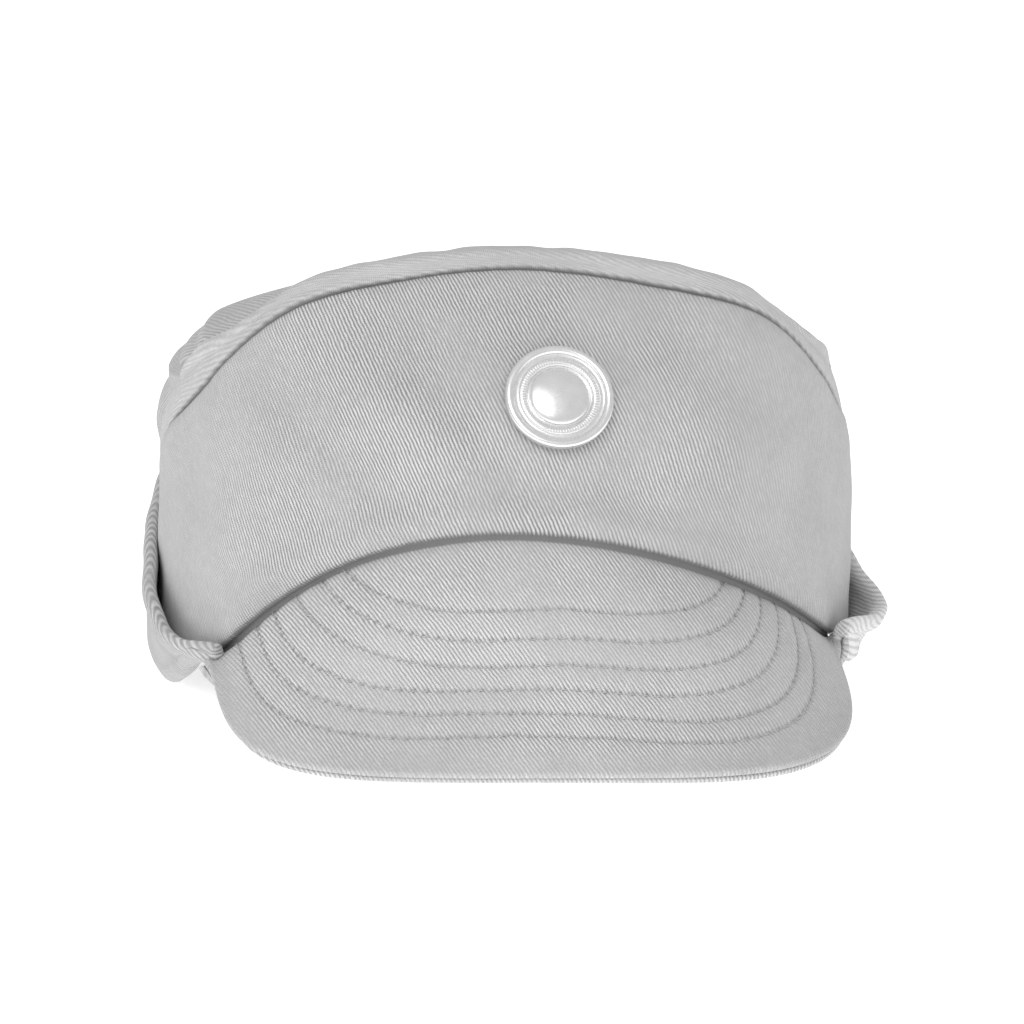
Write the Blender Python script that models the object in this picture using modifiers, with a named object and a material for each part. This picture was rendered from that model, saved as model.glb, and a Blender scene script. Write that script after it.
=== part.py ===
"""A soft field cap: front panel, edge band, top and side panels, turned-up flap, stitched peak, badge.

Metres, +Z up, the cap's front towards -Y, the origin on the floor below the middle of the whole cap.
All cloth follows one wall surface. A place on it is an azimuth in degrees, 0 at the front and
positive towards +X, and a run t, from 0 at the hem to 1 at the top of the crown.
"""
import functools
import math
from collections import namedtuple

import bmesh
import bpy
from mathutils import Matrix, Vector

NAME = "field_cap"

# The head hollow, measured to the inner face of the cloth
HEAD_HALF_WIDTH = 0.0868
HEAD_FRONT = 0.098
HEAD_REAR = 0.097
OVAL_POWER = 2.15

# The wall above the hem
CREST_HEIGHT = 0.1135
APEX_HEIGHT = 0.104
CROWN_FALL_RATIO = 0.20
SHOULDER_LEAN = 0.0019
CROWN_LEAN = 0.0014
WALL_RUNS = (0.0, 0.30, 0.62, 0.82, 1.0)
PROBE_AZIMUTH = 0.2
PROBE_SHARE = 0.002
CROSS_STEP = 0.0005

# Shares of the oval's radius (reach) and of CREST_HEIGHT (height), by azimuth
Profile = namedtuple("Profile", "azimuth belly_reach belly_height shoulder_reach shoulder_height"
                                " crown_reach crown_height")
PROFILES = [
    Profile(0, 0.870, 0.740, 0.588, 0.982, 0.491, 1.000),
    Profile(25, 0.900, 0.696, 0.660, 0.962, 0.555, 0.989),
    Profile(45, 0.954, 0.588, 0.804, 0.909, 0.665, 0.942),
    Profile(66, 0.967, 0.432, 0.905, 0.756, 0.800, 0.805),
    Profile(84, 0.992, 0.386, 0.960, 0.640, 0.840, 0.760),
    Profile(105, 0.990, 0.337, 0.940, 0.628, 0.810, 0.764),
    Profile(135, 1.000, 0.317, 0.935, 0.604, 0.770, 0.740),
    Profile(160, 0.995, 0.308, 0.920, 0.582, 0.720, 0.714),
    Profile(180, 0.990, 0.308, 0.915, 0.573, 0.710, 0.700),
]

# Cloth and the gaps between sewn pieces
CLOTH = 0.0018
BAND_CLOTH = 0.0022
FLAP_CLOTH = 0.0022
SEAM_GAP = 0.0005
CREST_GAP = 0.0009

# The hem: an arch over the peak, then down to the flap's fold
ARCH_RISE = 0.0385
ARCH_END_AZIMUTH = 57.5
ARCH_FULLNESS = 1.25
ARCH_LEAN = 0.0035

# The seam round the front panel: upright at the sides, a rounded arch above
SEAM_AZIMUTH = 82.0
SEAM_CORNER_SHARE = 0.39
SEAM_TOP_SHARE = 0.603
SEAM_SQUARENESS = 2.37
BAND_WIDTH = 0.012
TOP_SEAM_SHARE = 0.56
CROWN_GATHER = 14.0

# The flap, folded out and up from the hem
FLAP_HEIGHT = 0.052
FLAP_STAND_OFF = 0.0057
FLAP_OUT_LEAN = 0.25
FLAP_UP_LEAN = -0.12
FLAP_FRONT_RISE = 0.012
FLAP_FLOOR_AZIMUTH = 84.0
FLAP_FOLD_RADIUS = 0.0030

# Shares of FLAP_STAND_OFF and FLAP_HEIGHT, by azimuth
FlapSection = namedtuple("FlapSection", "azimuth stand_off height")
FLAP_SECTIONS = [
    FlapSection(57.5, 0.10, 0.330),
    FlapSection(66, 0.85, 0.330),
    FlapSection(78, 1.00, 0.420),
    FlapSection(90, 0.76, 0.560),
    FlapSection(105, 0.50, 0.740),
    FlapSection(130, 0.40, 0.920),
    FlapSection(180, 0.40, 1.000),
]

# The peak: two cloth-covered layers that meet at the edge
PEAK_ROOT_AZIMUTH = 56.0
PEAK_HALF_WIDTH = 0.079
PEAK_CORNER_Y = -0.057
PEAK_REACH = 0.041
PEAK_SQUARENESS = 3.3
PEAK_EDGE_HEIGHT = 0.0048
PEAK_CORNER_HEIGHT = 0.0155
PEAK_DISH = 0.0015
PEAK_SPAN_SHARE = 0.985
PEAK_TOP_CLOTH = 0.0020
PEAK_UNDER_CLOTH = 0.0016
LAYER_GAP = 0.0004

# The badge and the stud that holds it
BADGE_AZIMUTH = 2.2
BADGE_RUN_SHARE = 0.300
BADGE_RADIUS = 0.0134
BADGE_FLANGE = 0.0013
BADGE_BEAD = 0.0009
BADGE_BEAD_WIDTH = 0.0022
BADGE_DOME_RADIUS = 0.0074
BADGE_DOME_RISE = 0.0016
STUD_RADIUS = 0.0020
STUD_HOLE_RADIUS = 0.0025
STUD_HEAD_RADIUS = 0.0050
STUD_HEAD = 0.0010
STUD_SEAT_GAP = 0.0006

# Grid cells of the sheets
ARCH_CELLS = 32
BAND_SIDE_CELLS = 6
BAND_CROSS_CELLS = 3
PANEL_ROWS = 10
SIDE_CELLS = 16
SIDE_ROWS = 8
CROWN_FRONT_CELLS = 24
CROWN_RINGS = 6
FLAP_CELLS = 54
PEAK_CELLS = 26
PEAK_ROWS = 7
TURN_STEPS = 28


def smooth_through(stations, values, x, start_slope=None, end_slope=None):
    """Value at x of a smooth curve through the stations, with end slopes where they are given."""
    spans = [b - a for a, b in zip(stations, stations[1:])]
    rises = [(b - a) / span for a, b, span in zip(values, values[1:], spans)]
    slopes = [rises[0]] + [
        (spans[i + 1] * rises[i] + spans[i] * rises[i + 1]) / (spans[i] + spans[i + 1])
        for i in range(len(rises) - 1)] + [rises[-1]]
    if start_slope is not None:
        slopes[0] = start_slope
    if end_slope is not None:
        slopes[-1] = end_slope
    i = 0
    while i < len(spans) - 1 and x > stations[i + 1]:
        i += 1
    u = (x - stations[i]) / spans[i]
    return ((2 * u**3 - 3 * u**2 + 1) * values[i] + (u**3 - 2 * u**2 + u) * spans[i] * slopes[i]
            + (3 * u**2 - 2 * u**3) * values[i + 1] + (u**3 - u**2) * spans[i] * slopes[i + 1])


def table_value(table, column, azimuth):
    """A table's column at an azimuth, the same on both sides of the cap."""
    stations = [row.azimuth for row in table]
    values = [getattr(row, column) for row in table]
    return smooth_through(stations, values, abs(azimuth), 0.0, 0.0)


def ease(x):
    """0 to 1 with level ends."""
    x = min(max(x, 0.0), 1.0)
    return x * x * (3 - 2 * x)


def mix(a, b, share):
    """A value between a and b."""
    return a + (b - a) * share


def rounded_corner(angle, squareness):
    """Across and forward shares on a squarish arch, at an angle from -90 to 90 degrees."""
    across, forward = math.sin(math.radians(angle)), max(math.cos(math.radians(angle)), 0.0)
    size = (abs(across) ** squareness + forward**squareness) ** (-1 / squareness)
    return across * size, forward * size


def signed(azimuth):
    """The same azimuth between -180 and 180."""
    return (azimuth + 180.0) % 360.0 - 180.0


def oval_radius(azimuth):
    """Radius of the head oval."""
    side = abs(math.sin(math.radians(azimuth)))
    along = abs(math.cos(math.radians(azimuth)))
    length = HEAD_FRONT if abs(azimuth) < 90 else HEAD_REAR
    total = (side / HEAD_HALF_WIDTH) ** OVAL_POWER + (along / length) ** OVAL_POWER
    return total ** (-1 / OVAL_POWER)


def fold_height(azimuth):
    """Height of the flap's fold, which lifts off the floor towards the peak."""
    span = FLAP_FLOOR_AZIMUTH - ARCH_END_AZIMUTH
    return FLAP_FRONT_RISE * (1 - ease((abs(azimuth) - ARCH_END_AZIMUTH) / span))


def hem_height(azimuth):
    """Height of the cloth's lower edge."""
    height = fold_height(azimuth) + FLAP_CLOTH + SEAM_GAP
    share = azimuth / ARCH_END_AZIMUTH
    if abs(share) < 1:
        height += ARCH_RISE * (1 - share**2) ** ARCH_FULLNESS
        height -= ARCH_LEAN * math.sin(math.pi * share)
    return height


@functools.lru_cache(maxsize=None)
def wall_stations(azimuth):
    """Radii and heights of the wall's profile at its five runs."""
    radius = oval_radius(azimuth)
    lean = math.sin(math.radians(2 * azimuth)) if abs(azimuth) < 90 else 0.0
    radii = [radius] + [radius * table_value(PROFILES, column, azimuth)
                        for column in ("belly_reach", "shoulder_reach", "crown_reach")] + [0.0]
    heights = [CREST_HEIGHT * table_value(PROFILES, column, azimuth)
               for column in ("belly_height", "shoulder_height", "crown_height")]
    heights[0] -= SHOULDER_LEAN * lean
    heights[1] -= SHOULDER_LEAN * lean
    heights[2] -= CROWN_LEAN * lean
    return radii, [hem_height(azimuth)] + heights + [APEX_HEIGHT]


def wall(azimuth, t):
    """A point on the inner face of the cloth."""
    azimuth = signed(azimuth)
    radii, heights = wall_stations(azimuth)
    inward = -radii[3] / (WALL_RUNS[4] - WALL_RUNS[3])
    climb = CROWN_FALL_RATIO * math.cos(math.radians(azimuth)) * inward
    radius = smooth_through(WALL_RUNS, radii, t, None, inward)
    height = smooth_through(WALL_RUNS, heights, t, None, climb)
    turn = math.radians(azimuth)
    return Vector((radius * math.sin(turn), -radius * math.cos(turn), height))


def run_after(azimuth, t, distance, steps=12):
    """The run reached after going a distance up the cloth from t."""
    for _ in range(steps):
        slope = (wall(azimuth, t + PROBE_SHARE) - wall(azimuth, t)).length / PROBE_SHARE
        t += distance / steps / slope
    return t


def seam_line(angle):
    """Azimuth and run on the front seam's arch, at an angle from -90 to 90 degrees."""
    across, upward = rounded_corner(angle, SEAM_SQUARENESS)
    return SEAM_AZIMUTH * across, mix(SEAM_CORNER_SHARE, SEAM_TOP_SHARE, upward)


@functools.lru_cache(maxsize=None)
def seam_arch(angle, outward):
    """The arch of the front seam, moved a distance outward across the cloth in short steps."""
    azimuth, t = seam_line(angle)
    seam = wall(*seam_line(min(angle + 1, 90))) - wall(*seam_line(max(angle - 1, -90)))
    steps = math.ceil(outward / CROSS_STEP - 0.01)
    for _ in range(steps):
        here = wall(azimuth, t)
        around = wall(azimuth + PROBE_AZIMUTH, t) - here
        upward = wall(azimuth, t + PROBE_SHARE) - here
        move = upward * around.dot(seam) - around * upward.dot(seam)
        share = outward / steps / move.length
        azimuth -= PROBE_AZIMUTH * upward.dot(seam) * share
        t += PROBE_SHARE * around.dot(seam) * share
    return azimuth, t


@functools.lru_cache(maxsize=None)
def seam_angle_at(t, outward, side):
    """The angle at which the arch stands at run t, on the side of that sign."""
    near, far = 0.0, 90.0
    for _ in range(30):
        middle = (near + far) / 2
        if seam_arch(side * middle, outward)[1] > t:
            near = middle
        else:
            far = middle
    return side * (near + far) / 2


def seam_side(t, outward, side):
    """Azimuth of the front seam at run t, on the side of that sign."""
    end_azimuth, end_run = seam_arch(side * 90.0, outward)
    return end_azimuth if t <= end_run else seam_arch(seam_angle_at(t, outward, side), outward)[0]


def front_panel_place(u, v):
    """Front panel: columns fan from the hem to the arch of the seam."""
    top_azimuth, top_run = seam_line(mix(-90, 90, u))
    return wall(mix(mix(-SEAM_AZIMUTH, SEAM_AZIMUTH, u), top_azimuth, v), top_run * v)


def edge_band_place(u, v):
    """Edge band: up one side, over the crest and down the other side."""
    outward = SEAM_GAP + BAND_WIDTH * v
    side_share = BAND_SIDE_CELLS / (2 * BAND_SIDE_CELLS + ARCH_CELLS)
    if side_share <= u <= 1 - side_share:
        return wall(*seam_arch(mix(-90, 90, (u - side_share) / (1 - 2 * side_share)), outward))
    end_azimuth, end_run = seam_arch(math.copysign(90.0, u - 0.5), outward)
    return wall(end_azimuth, end_run * min(u, 1 - u) / side_share)


def top_panel_place(u, v):
    """Top panel: from its outline to the top of the crown, round the cap from the rear."""
    outward = SEAM_GAP + BAND_WIDTH + CREST_GAP
    left, right = (seam_angle_at(TOP_SEAM_SHARE, outward, side) for side in (-1, 1))
    rear_share = SIDE_CELLS / (2 * SIDE_CELLS + CROWN_FRONT_CELLS)
    if u < rear_share:
        azimuth, t = mix(-180, seam_arch(left, outward)[0], u / rear_share), TOP_SEAM_SHARE
    elif u > 1 - rear_share:
        azimuth, t = mix(180, seam_arch(right, outward)[0], (1 - u) / rear_share), TOP_SEAM_SHARE
    else:
        azimuth, t = seam_arch(mix(left, right, (u - rear_share) / (1 - 2 * rear_share)), outward)
    inward = CROWN_GATHER * math.sin(math.radians(azimuth)) * v
    return wall(azimuth - inward, mix(t, 1.0, v))


def side_panel_place(side, u, v):
    """Side panel: from the band to the centre of the rear. side is +1 towards +X."""
    t = run_after(90.0, TOP_SEAM_SHARE, -SEAM_GAP) * v
    front = seam_side(t, 2 * SEAM_GAP + BAND_WIDTH, side)
    rear = side * (180 - math.degrees(SEAM_GAP / 2 / HEAD_REAR))
    return wall(mix(front, rear, u) if side > 0 else mix(rear, front, u), t)


def flap_path(azimuth):
    """The flap's inner face at an azimuth, as distances out from the head oval and heights."""
    side = math.sin(math.radians(azimuth))
    floor = fold_height(azimuth) + FLAP_CLOTH
    leg = CLOTH + SEAM_GAP + FLAP_FOLD_RADIUS
    stand_off = FLAP_STAND_OFF * (1 + FLAP_OUT_LEAN * side)
    rim = CLOTH + SEAM_GAP + stand_off * table_value(FLAP_SECTIONS, "stand_off", azimuth)
    leg = min(leg, rim)
    radius = min(FLAP_FOLD_RADIUS, leg * 0.5)
    height = FLAP_HEIGHT * (1 + FLAP_UP_LEAN * side) * table_value(FLAP_SECTIONS, "height", azimuth)
    rise = max(height - floor - radius, radius)
    path = [(share * (leg - radius), floor) for share in (0.0, 0.5, 1.0)]
    path += [(leg - radius + radius * math.sin(math.radians(turn)),
              floor + radius - radius * math.cos(math.radians(turn))) for turn in (30, 60, 90)]
    path += [(mix(leg, rim, ease(share) if share < 1 else 1.0), floor + radius + rise * share)
             for share in (0.33, 0.67, 1.0)]
    return path


FLAP_PATH_CELLS = len(flap_path(180.0)) - 1


def flap_place(u, v):
    """Flap: round the back from the peak's corner at -X to the one at +X, wound so that it faces out."""
    azimuth = signed(mix(-ARCH_END_AZIMUTH, ARCH_END_AZIMUTH - 360, 1 - u))
    out, height = flap_path(azimuth)[round(v * FLAP_PATH_CELLS)]
    radius = oval_radius(azimuth) + out
    turn = math.radians(azimuth)
    return Vector((radius * math.sin(turn), -radius * math.cos(turn), height))


def peak_place(s, k):
    """Top face of the peak: s from -1 to 1 across it, k from 0 at the root to 1 at the edge."""
    root = wall(s * PEAK_ROOT_AZIMUTH, 0.0) - Vector((0, 0, SEAM_GAP))
    across, forward = rounded_corner(90 * s, PEAK_SQUARENESS)
    tip = -HEAD_FRONT - PEAK_REACH
    edge = Vector((PEAK_HALF_WIDTH * across, mix(PEAK_CORNER_Y, tip, forward),
                   mix(PEAK_CORNER_HEIGHT, PEAK_EDGE_HEIGHT, 1 - (1 - forward) ** 1.5)))
    dish = Vector((0, 0, -4 * PEAK_DISH * k * (1 - k) * forward))
    return root.lerp(edge, k) + dish


def peak_layer_place(depth, u, v):
    """A face of the peak, a depth below its top face. The grid runs from the edge to the root."""
    s, k = mix(-PEAK_SPAN_SHARE, PEAK_SPAN_SHARE, u), 1 - v
    step = 0.004
    along = peak_place(min(s + step, 1), k) - peak_place(max(s - step, -1), k)
    inward = peak_place(s, max(k - step, 0)) - peak_place(s, min(k + step, 1))
    return peak_place(s, k) - depth * along.cross(inward).normalized()


def wall_frame(azimuth, t, out):
    """A frame on the cloth: its Z faces out, its X lies level, its origin is a distance out."""
    around = wall(azimuth + PROBE_AZIMUTH, t) - wall(azimuth - PROBE_AZIMUTH, t)
    upward = wall(azimuth, t + PROBE_SHARE) - wall(azimuth, t - PROBE_SHARE)
    outward = around.cross(upward).normalized()
    level = Vector((0, 0, 1)).cross(outward).normalized()
    rotation = Matrix((level, outward.cross(level), outward)).transposed()
    return Matrix.Translation(wall(azimuth, t) + outward * out) @ rotation.to_4x4()


def cloth_material(name, tone):
    """Matt cotton twill."""
    return surface_material(name, (tone, tone, tone), 0.92, 0.0)


def surface_material(name, colour, roughness, metallic):
    """A plain material."""
    material = bpy.data.materials.new(name)
    material.use_nodes = True
    shader = material.node_tree.nodes["Principled BSDF"]
    shader.inputs["Base Color"].default_value = (*colour, 1.0)
    shader.inputs["Roughness"].default_value = roughness
    shader.inputs["Metallic"].default_value = metallic
    return material


def add_object(name, mesh, material, collection):
    """Link a mesh as an object of the cap."""
    mesh.materials.append(material)
    obj = bpy.data.objects.new(name, mesh)
    collection.objects.link(obj)
    return obj


def add_sheet(name, place, columns, rows, thickness, offset, material, collection):
    """A sheet of cloth: a grid laid on the surface that place gives, thickened to one side."""
    mesh = bpy.data.meshes.new(name)
    bm = bmesh.new()
    bmesh.ops.create_grid(bm, x_segments=columns, y_segments=rows, size=0.5)
    for vertex in bm.verts:
        u = round((vertex.co.x + 0.5) * columns) / columns
        v = round((vertex.co.y + 0.5) * rows) / rows
        vertex.co = place(u, v)
    bmesh.ops.remove_doubles(bm, verts=bm.verts, dist=0.00005)
    bm.to_mesh(mesh)
    bm.free()
    mesh.shade_smooth()
    obj = add_object(name, mesh, material, collection)
    solidify = obj.modifiers.new("cloth", "SOLIDIFY")
    solidify.thickness = thickness
    solidify.offset = offset
    return obj


def add_turned(name, profile, frame, material, collection):
    """A turned piece: a profile of radii and heights, top to bottom down its outer side."""
    mesh = bpy.data.meshes.new(name)
    bm = bmesh.new()
    points = [bm.verts.new((radius, 0.0, height)) for radius, height in profile]
    for start, end in zip(points, points[1:]):
        bm.edges.new((start, end))
    bm.to_mesh(mesh)
    bm.free()
    obj = add_object(name, mesh, material, collection)
    obj.matrix_basis = frame
    screw = obj.modifiers.new("turned", "SCREW")
    screw.steps = TURN_STEPS
    screw.render_steps = TURN_STEPS
    screw.use_merge_vertices = True
    screw.merge_threshold = 0.00001
    screw.use_smooth_shade = True
    return obj


def bead(radius, base, rise):
    """A rounded bead on a turned face, from its inner foot to its outer foot."""
    half = BADGE_BEAD_WIDTH / 2
    return [(radius - half * math.cos(math.radians(turn)), base + rise * math.sin(math.radians(turn)))
            for turn in (0, 45, 90, 135, 180)]


def badge_profile():
    """A flat flange with a raised rim, an inner bead ring and a low smooth dome."""
    base = BADGE_FLANGE
    dome = [(BADGE_DOME_RADIUS * math.sin(math.radians(turn)),
             base + BADGE_DOME_RISE * math.cos(math.radians(turn))) for turn in (0, 22.5, 45, 67.5, 90)]
    ring = bead(BADGE_DOME_RADIUS + BADGE_BEAD_WIDTH * 0.75, base, BADGE_BEAD * 0.8)
    rim = bead(BADGE_RADIUS - BADGE_BEAD_WIDTH / 2, base, BADGE_BEAD)
    return dome + ring + rim + [(BADGE_RADIUS, 0.0), (0.0, 0.0)]


def stud_profile():
    """A plain stud: its head inside the cap, its shank out through the cloth."""
    seat = -STUD_SEAT_GAP
    tip = CLOTH
    return [(0.0, tip), (STUD_RADIUS, tip), (STUD_RADIUS, seat), (STUD_HEAD_RADIUS, seat),
            (STUD_HEAD_RADIUS, seat - STUD_HEAD), (0.0, seat - STUD_HEAD)]


def add_stud_hole(panel, frame, cutters):
    """Cut the stud's hole through the front panel."""
    mesh = bpy.data.meshes.new("stud_hole_cutter")
    bm = bmesh.new()
    bmesh.ops.create_cone(bm, cap_ends=True, segments=16, radius1=STUD_HOLE_RADIUS,
                          radius2=STUD_HOLE_RADIUS, depth=CLOTH * 6)
    bm.to_mesh(mesh)
    bm.free()
    cutter = bpy.data.objects.new("stud_hole_cutter", mesh)
    cutters.objects.link(cutter)
    cutter.matrix_basis = frame
    cutter.hide_render = True
    cutter.display_type = "WIRE"
    cut = panel.modifiers.new("stud_hole", "BOOLEAN")
    cut.operation = "DIFFERENCE"
    cut.solver = "EXACT"
    cut.object = cutter
    return cutter


def new_collection(name):
    """A collection in the scene."""
    collection = bpy.data.collections.new(name)
    bpy.context.scene.collection.children.link(collection)
    return collection


def cap_origin():
    """Moves the head's centre so that the origin lies under the middle of the whole cap."""
    rims = [CLOTH + SEAM_GAP + FLAP_CLOTH
            + max(FLAP_STAND_OFF * (1 + side * FLAP_OUT_LEAN) * section.stand_off
                  for section in FLAP_SECTIONS if 70 < section.azimuth < 110) for side in (-1, 1)]
    rear = HEAD_REAR + CLOTH + SEAM_GAP + FLAP_CLOTH + FLAP_FOLD_RADIUS
    return Vector(((rims[0] - rims[1]) / 2, (HEAD_FRONT + PEAK_REACH - rear) / 2, 0.0))


def build():
    """Model the cap."""
    for obj in list(bpy.data.objects):
        bpy.data.objects.remove(obj, do_unlink=True)
    parts = new_collection(NAME)
    cutters = new_collection("cutters")
    twill = cloth_material("grey_twill", 0.50)
    peak_twill = cloth_material("peak_twill", 0.48)
    metal = surface_material("bright_metal", (0.80, 0.80, 0.80), 0.28, 1.0)
    steel = surface_material("plain_steel", (0.45, 0.45, 0.46), 0.45, 1.0)

    panel = add_sheet("front_panel", front_panel_place, ARCH_CELLS, PANEL_ROWS, CLOTH, 1.0, twill, parts)
    made = [
        panel,
        add_sheet("edge_band", edge_band_place, 2 * BAND_SIDE_CELLS + ARCH_CELLS, BAND_CROSS_CELLS,
                  BAND_CLOTH, 1.0, twill, parts),
        add_sheet("top_panel", top_panel_place, 2 * SIDE_CELLS + CROWN_FRONT_CELLS, CROWN_RINGS,
                  CLOTH, 1.0, twill, parts),
        add_sheet("flap", flap_place, FLAP_CELLS, FLAP_PATH_CELLS, FLAP_CLOTH, 1.0, twill, parts),
        add_sheet("peak_top", functools.partial(peak_layer_place, 0.0), PEAK_CELLS, PEAK_ROWS,
                  PEAK_TOP_CLOTH, -1.0, peak_twill, parts),
        add_sheet("peak_under", functools.partial(peak_layer_place, PEAK_TOP_CLOTH + LAYER_GAP),
                  PEAK_CELLS, PEAK_ROWS, PEAK_UNDER_CLOTH, -1.0, peak_twill, parts),
    ]
    for side_name, side in (("left", -1), ("right", 1)):
        made.append(add_sheet(f"side_panel_{side_name}", functools.partial(side_panel_place, side),
                              SIDE_CELLS, SIDE_ROWS, CLOTH, 1.0, twill, parts))

    seat = wall_frame(BADGE_AZIMUTH, BADGE_RUN_SHARE, CLOTH + LAYER_GAP)
    made.append(add_turned("badge", badge_profile(), seat, metal, parts))
    inner_face = wall_frame(BADGE_AZIMUTH, BADGE_RUN_SHARE, 0.0)
    made.append(add_turned("badge_stud", stud_profile(), inner_face, steel, parts))
    made.append(add_stud_hole(panel, inner_face, cutters))

    origin = bpy.data.objects.new("cap_origin", None)
    parts.objects.link(origin)
    origin.location = cap_origin()
    for obj in made:
        obj.parent = origin


build()
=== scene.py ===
"""A soft field cap in grey twill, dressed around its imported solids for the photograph's view.

Metres, +Z up, the cap's front towards -Y. A place on the cloth is an azimuth in degrees, 0 at the
front and positive towards +X, and a run from 0 at the hem to 1 at the top of the crown. Left is the
side of -X, as the photograph shows it.
"""
import logging
import math
from dataclasses import dataclass, field
from enum import Enum

import bmesh
import bpy
import numpy as np
from mathutils import Matrix, Vector, kdtree


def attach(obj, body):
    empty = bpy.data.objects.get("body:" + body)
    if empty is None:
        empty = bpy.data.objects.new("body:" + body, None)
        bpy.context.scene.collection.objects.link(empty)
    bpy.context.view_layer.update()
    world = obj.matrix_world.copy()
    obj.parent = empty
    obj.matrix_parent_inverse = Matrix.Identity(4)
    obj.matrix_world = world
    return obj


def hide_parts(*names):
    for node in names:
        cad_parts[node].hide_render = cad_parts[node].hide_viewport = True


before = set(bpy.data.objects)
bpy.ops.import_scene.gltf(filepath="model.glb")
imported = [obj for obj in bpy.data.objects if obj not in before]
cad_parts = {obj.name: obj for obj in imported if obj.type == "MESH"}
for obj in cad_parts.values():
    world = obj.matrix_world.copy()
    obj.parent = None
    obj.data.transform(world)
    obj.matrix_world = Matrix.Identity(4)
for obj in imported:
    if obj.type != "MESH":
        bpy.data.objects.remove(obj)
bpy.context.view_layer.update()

log = logging.getLogger("field_cap")

Array = np.ndarray
CLOTH_MAP = "cloth"
NAP = "nap"
# Per-point painted light and shade that the twill adds to its colour: painted shade in seams, stitch rows and
# under the hem, painted light on the flap's far side.
PAINTED_LIGHT_AND_SHADE = "painted_light_and_shade"
MM = 0.001


def ease(x: Array) -> Array:
    """0 to 1 with level ends."""
    x = np.clip(x, 0.0, 1.0)
    return x * x * (3 - 2 * x)


def mix(a: Array, b: Array, share: Array) -> Array:
    """A value between a and b."""
    return a + (b - a) * share


def hump(distance: Array, width: float) -> Array:
    """1 at no distance, falling softly to nothing past the width."""
    return np.exp(-(distance / width) ** 2)


def unit(vectors: Array) -> Array:
    """The same vectors at length 1."""
    return vectors / np.maximum(np.linalg.norm(vectors, axis=-1, keepdims=True), 1e-12)


def smooth_through(knots: tuple[float, ...], values: Array, x: Array,
                   start_slope: Array | float | None = None,
                   end_slope: Array | float | None = None) -> Array:
    """A smooth curve through the knots, read at many places at once.

    Args:
        knots: where the values stand, rising.
        values: one number for each knot, or one array like x for each knot.
        x: the places to read.
        start_slope: slope at the first knot, else that of its span.
        end_slope: slope at the last knot, else that of its span.

    Returns:
        The curve's values, shaped like x.
    """
    x = np.asarray(x, float)
    values = np.asarray(values, float)
    if values.ndim == 1:
        values = values.reshape((-1,) + (1,) * x.ndim) + np.zeros((1,) + x.shape)
    spans = np.diff(knots).reshape((-1,) + (1,) * x.ndim)
    rises = np.diff(values, axis=0) / spans
    slopes = np.empty_like(values)
    slopes[1:-1] = (spans[1:] * rises[:-1] + spans[:-1] * rises[1:]) / (spans[:-1] + spans[1:])
    slopes[0] = rises[0] if start_slope is None else start_slope
    slopes[-1] = rises[-1] if end_slope is None else end_slope
    i = np.clip(np.searchsorted(knots[1:], x), 0, len(knots) - 2)

    def take(rows: Array, index: Array) -> Array:
        """The row that each place needs."""
        return np.take_along_axis(rows, index[None], 0)[0]

    span = np.diff(knots)[i]
    u = (x - np.asarray(knots)[i]) / span
    return ((2 * u**3 - 3 * u**2 + 1) * take(values, i)
            + (u**3 - 2 * u**2 + u) * span * take(slopes, i)
            + (3 * u**2 - 2 * u**3) * take(values, i + 1)
            + (u**3 - u**2) * span * take(slopes, i + 1))


def rounded_corner(angle: Array, squareness: Array | float) -> tuple[Array, Array]:
    """Across and forward shares on a squarish arch, at an angle from -90 to 90 degrees.

    Args:
        angle: degrees round the arch.
        squareness: the arch's power, 2 for an ellipse.

    Returns:
        Both shares, shaped like the angle.
    """
    across = np.sin(np.radians(angle))
    forward = np.maximum(np.cos(np.radians(angle)), 0.0)
    size = (np.abs(across) ** squareness + forward**squareness) ** (-1 / squareness)
    return across * size, forward * size


def undulation(points: Array, wavelength: float, seed: int) -> Array:
    """A soft random swell over points in space, about -1 to 1.

    Args:
        points: any array of points.
        wavelength: the swell's usual length in metres.
        seed: fixes the pattern.

    Returns:
        One number for each point.
    """
    waves, shortest, longest = 7, 0.7, 1.6
    rng = np.random.default_rng(seed)
    total = np.zeros(points.shape[:-1])
    for _ in range(waves):
        direction = unit(rng.normal(size=points.shape[-1]))
        length = wavelength * rng.uniform(shortest, longest)
        total += np.sin(points @ direction * (2 * math.pi / length) + rng.uniform(0, 2 * math.pi))
    return total / math.sqrt(waves)


def stations(length: float, spacing: float, fine_start: bool = True, fine_end: bool = True) -> Array:
    """Grid stations from 0 to 1, set close together where a rolled edge needs them.

    Args:
        length: of the side that they divide.
        spacing: between those in the middle.
        fine_start: whether the start is a rolled edge.
        fine_end: whether the end is a rolled edge.

    Returns:
        The stations, rising.
    """
    near = np.array([0.0, 0.10, 0.26, 0.48, 0.74, 1.05, 1.45, 2.0]) * MM
    start = near if fine_start else near[:1]
    end = length - (near if fine_end else near[:1])[::-1]
    middle = np.linspace(start[-1], end[0], max(3, round((end[0] - start[-1]) / spacing) + 1))
    return np.concatenate([start[:-1], middle, end[1:]]) / length


def totals(steps: Array, axis: int = 0) -> Array:
    """Running totals of steps along an axis, from 0."""
    return np.concatenate([0 * np.take(steps, [0], axis), np.cumsum(steps, axis)], axis)


def linked(name: str, data: bpy.types.ID) -> bpy.types.Object:
    """A new object in the scene.

    Args:
        name: the object's name.
        data: its mesh, light or camera.

    Returns:
        The object.
    """
    obj = bpy.data.objects.new(name, data)
    bpy.context.scene.collection.objects.link(obj)
    return obj


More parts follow.
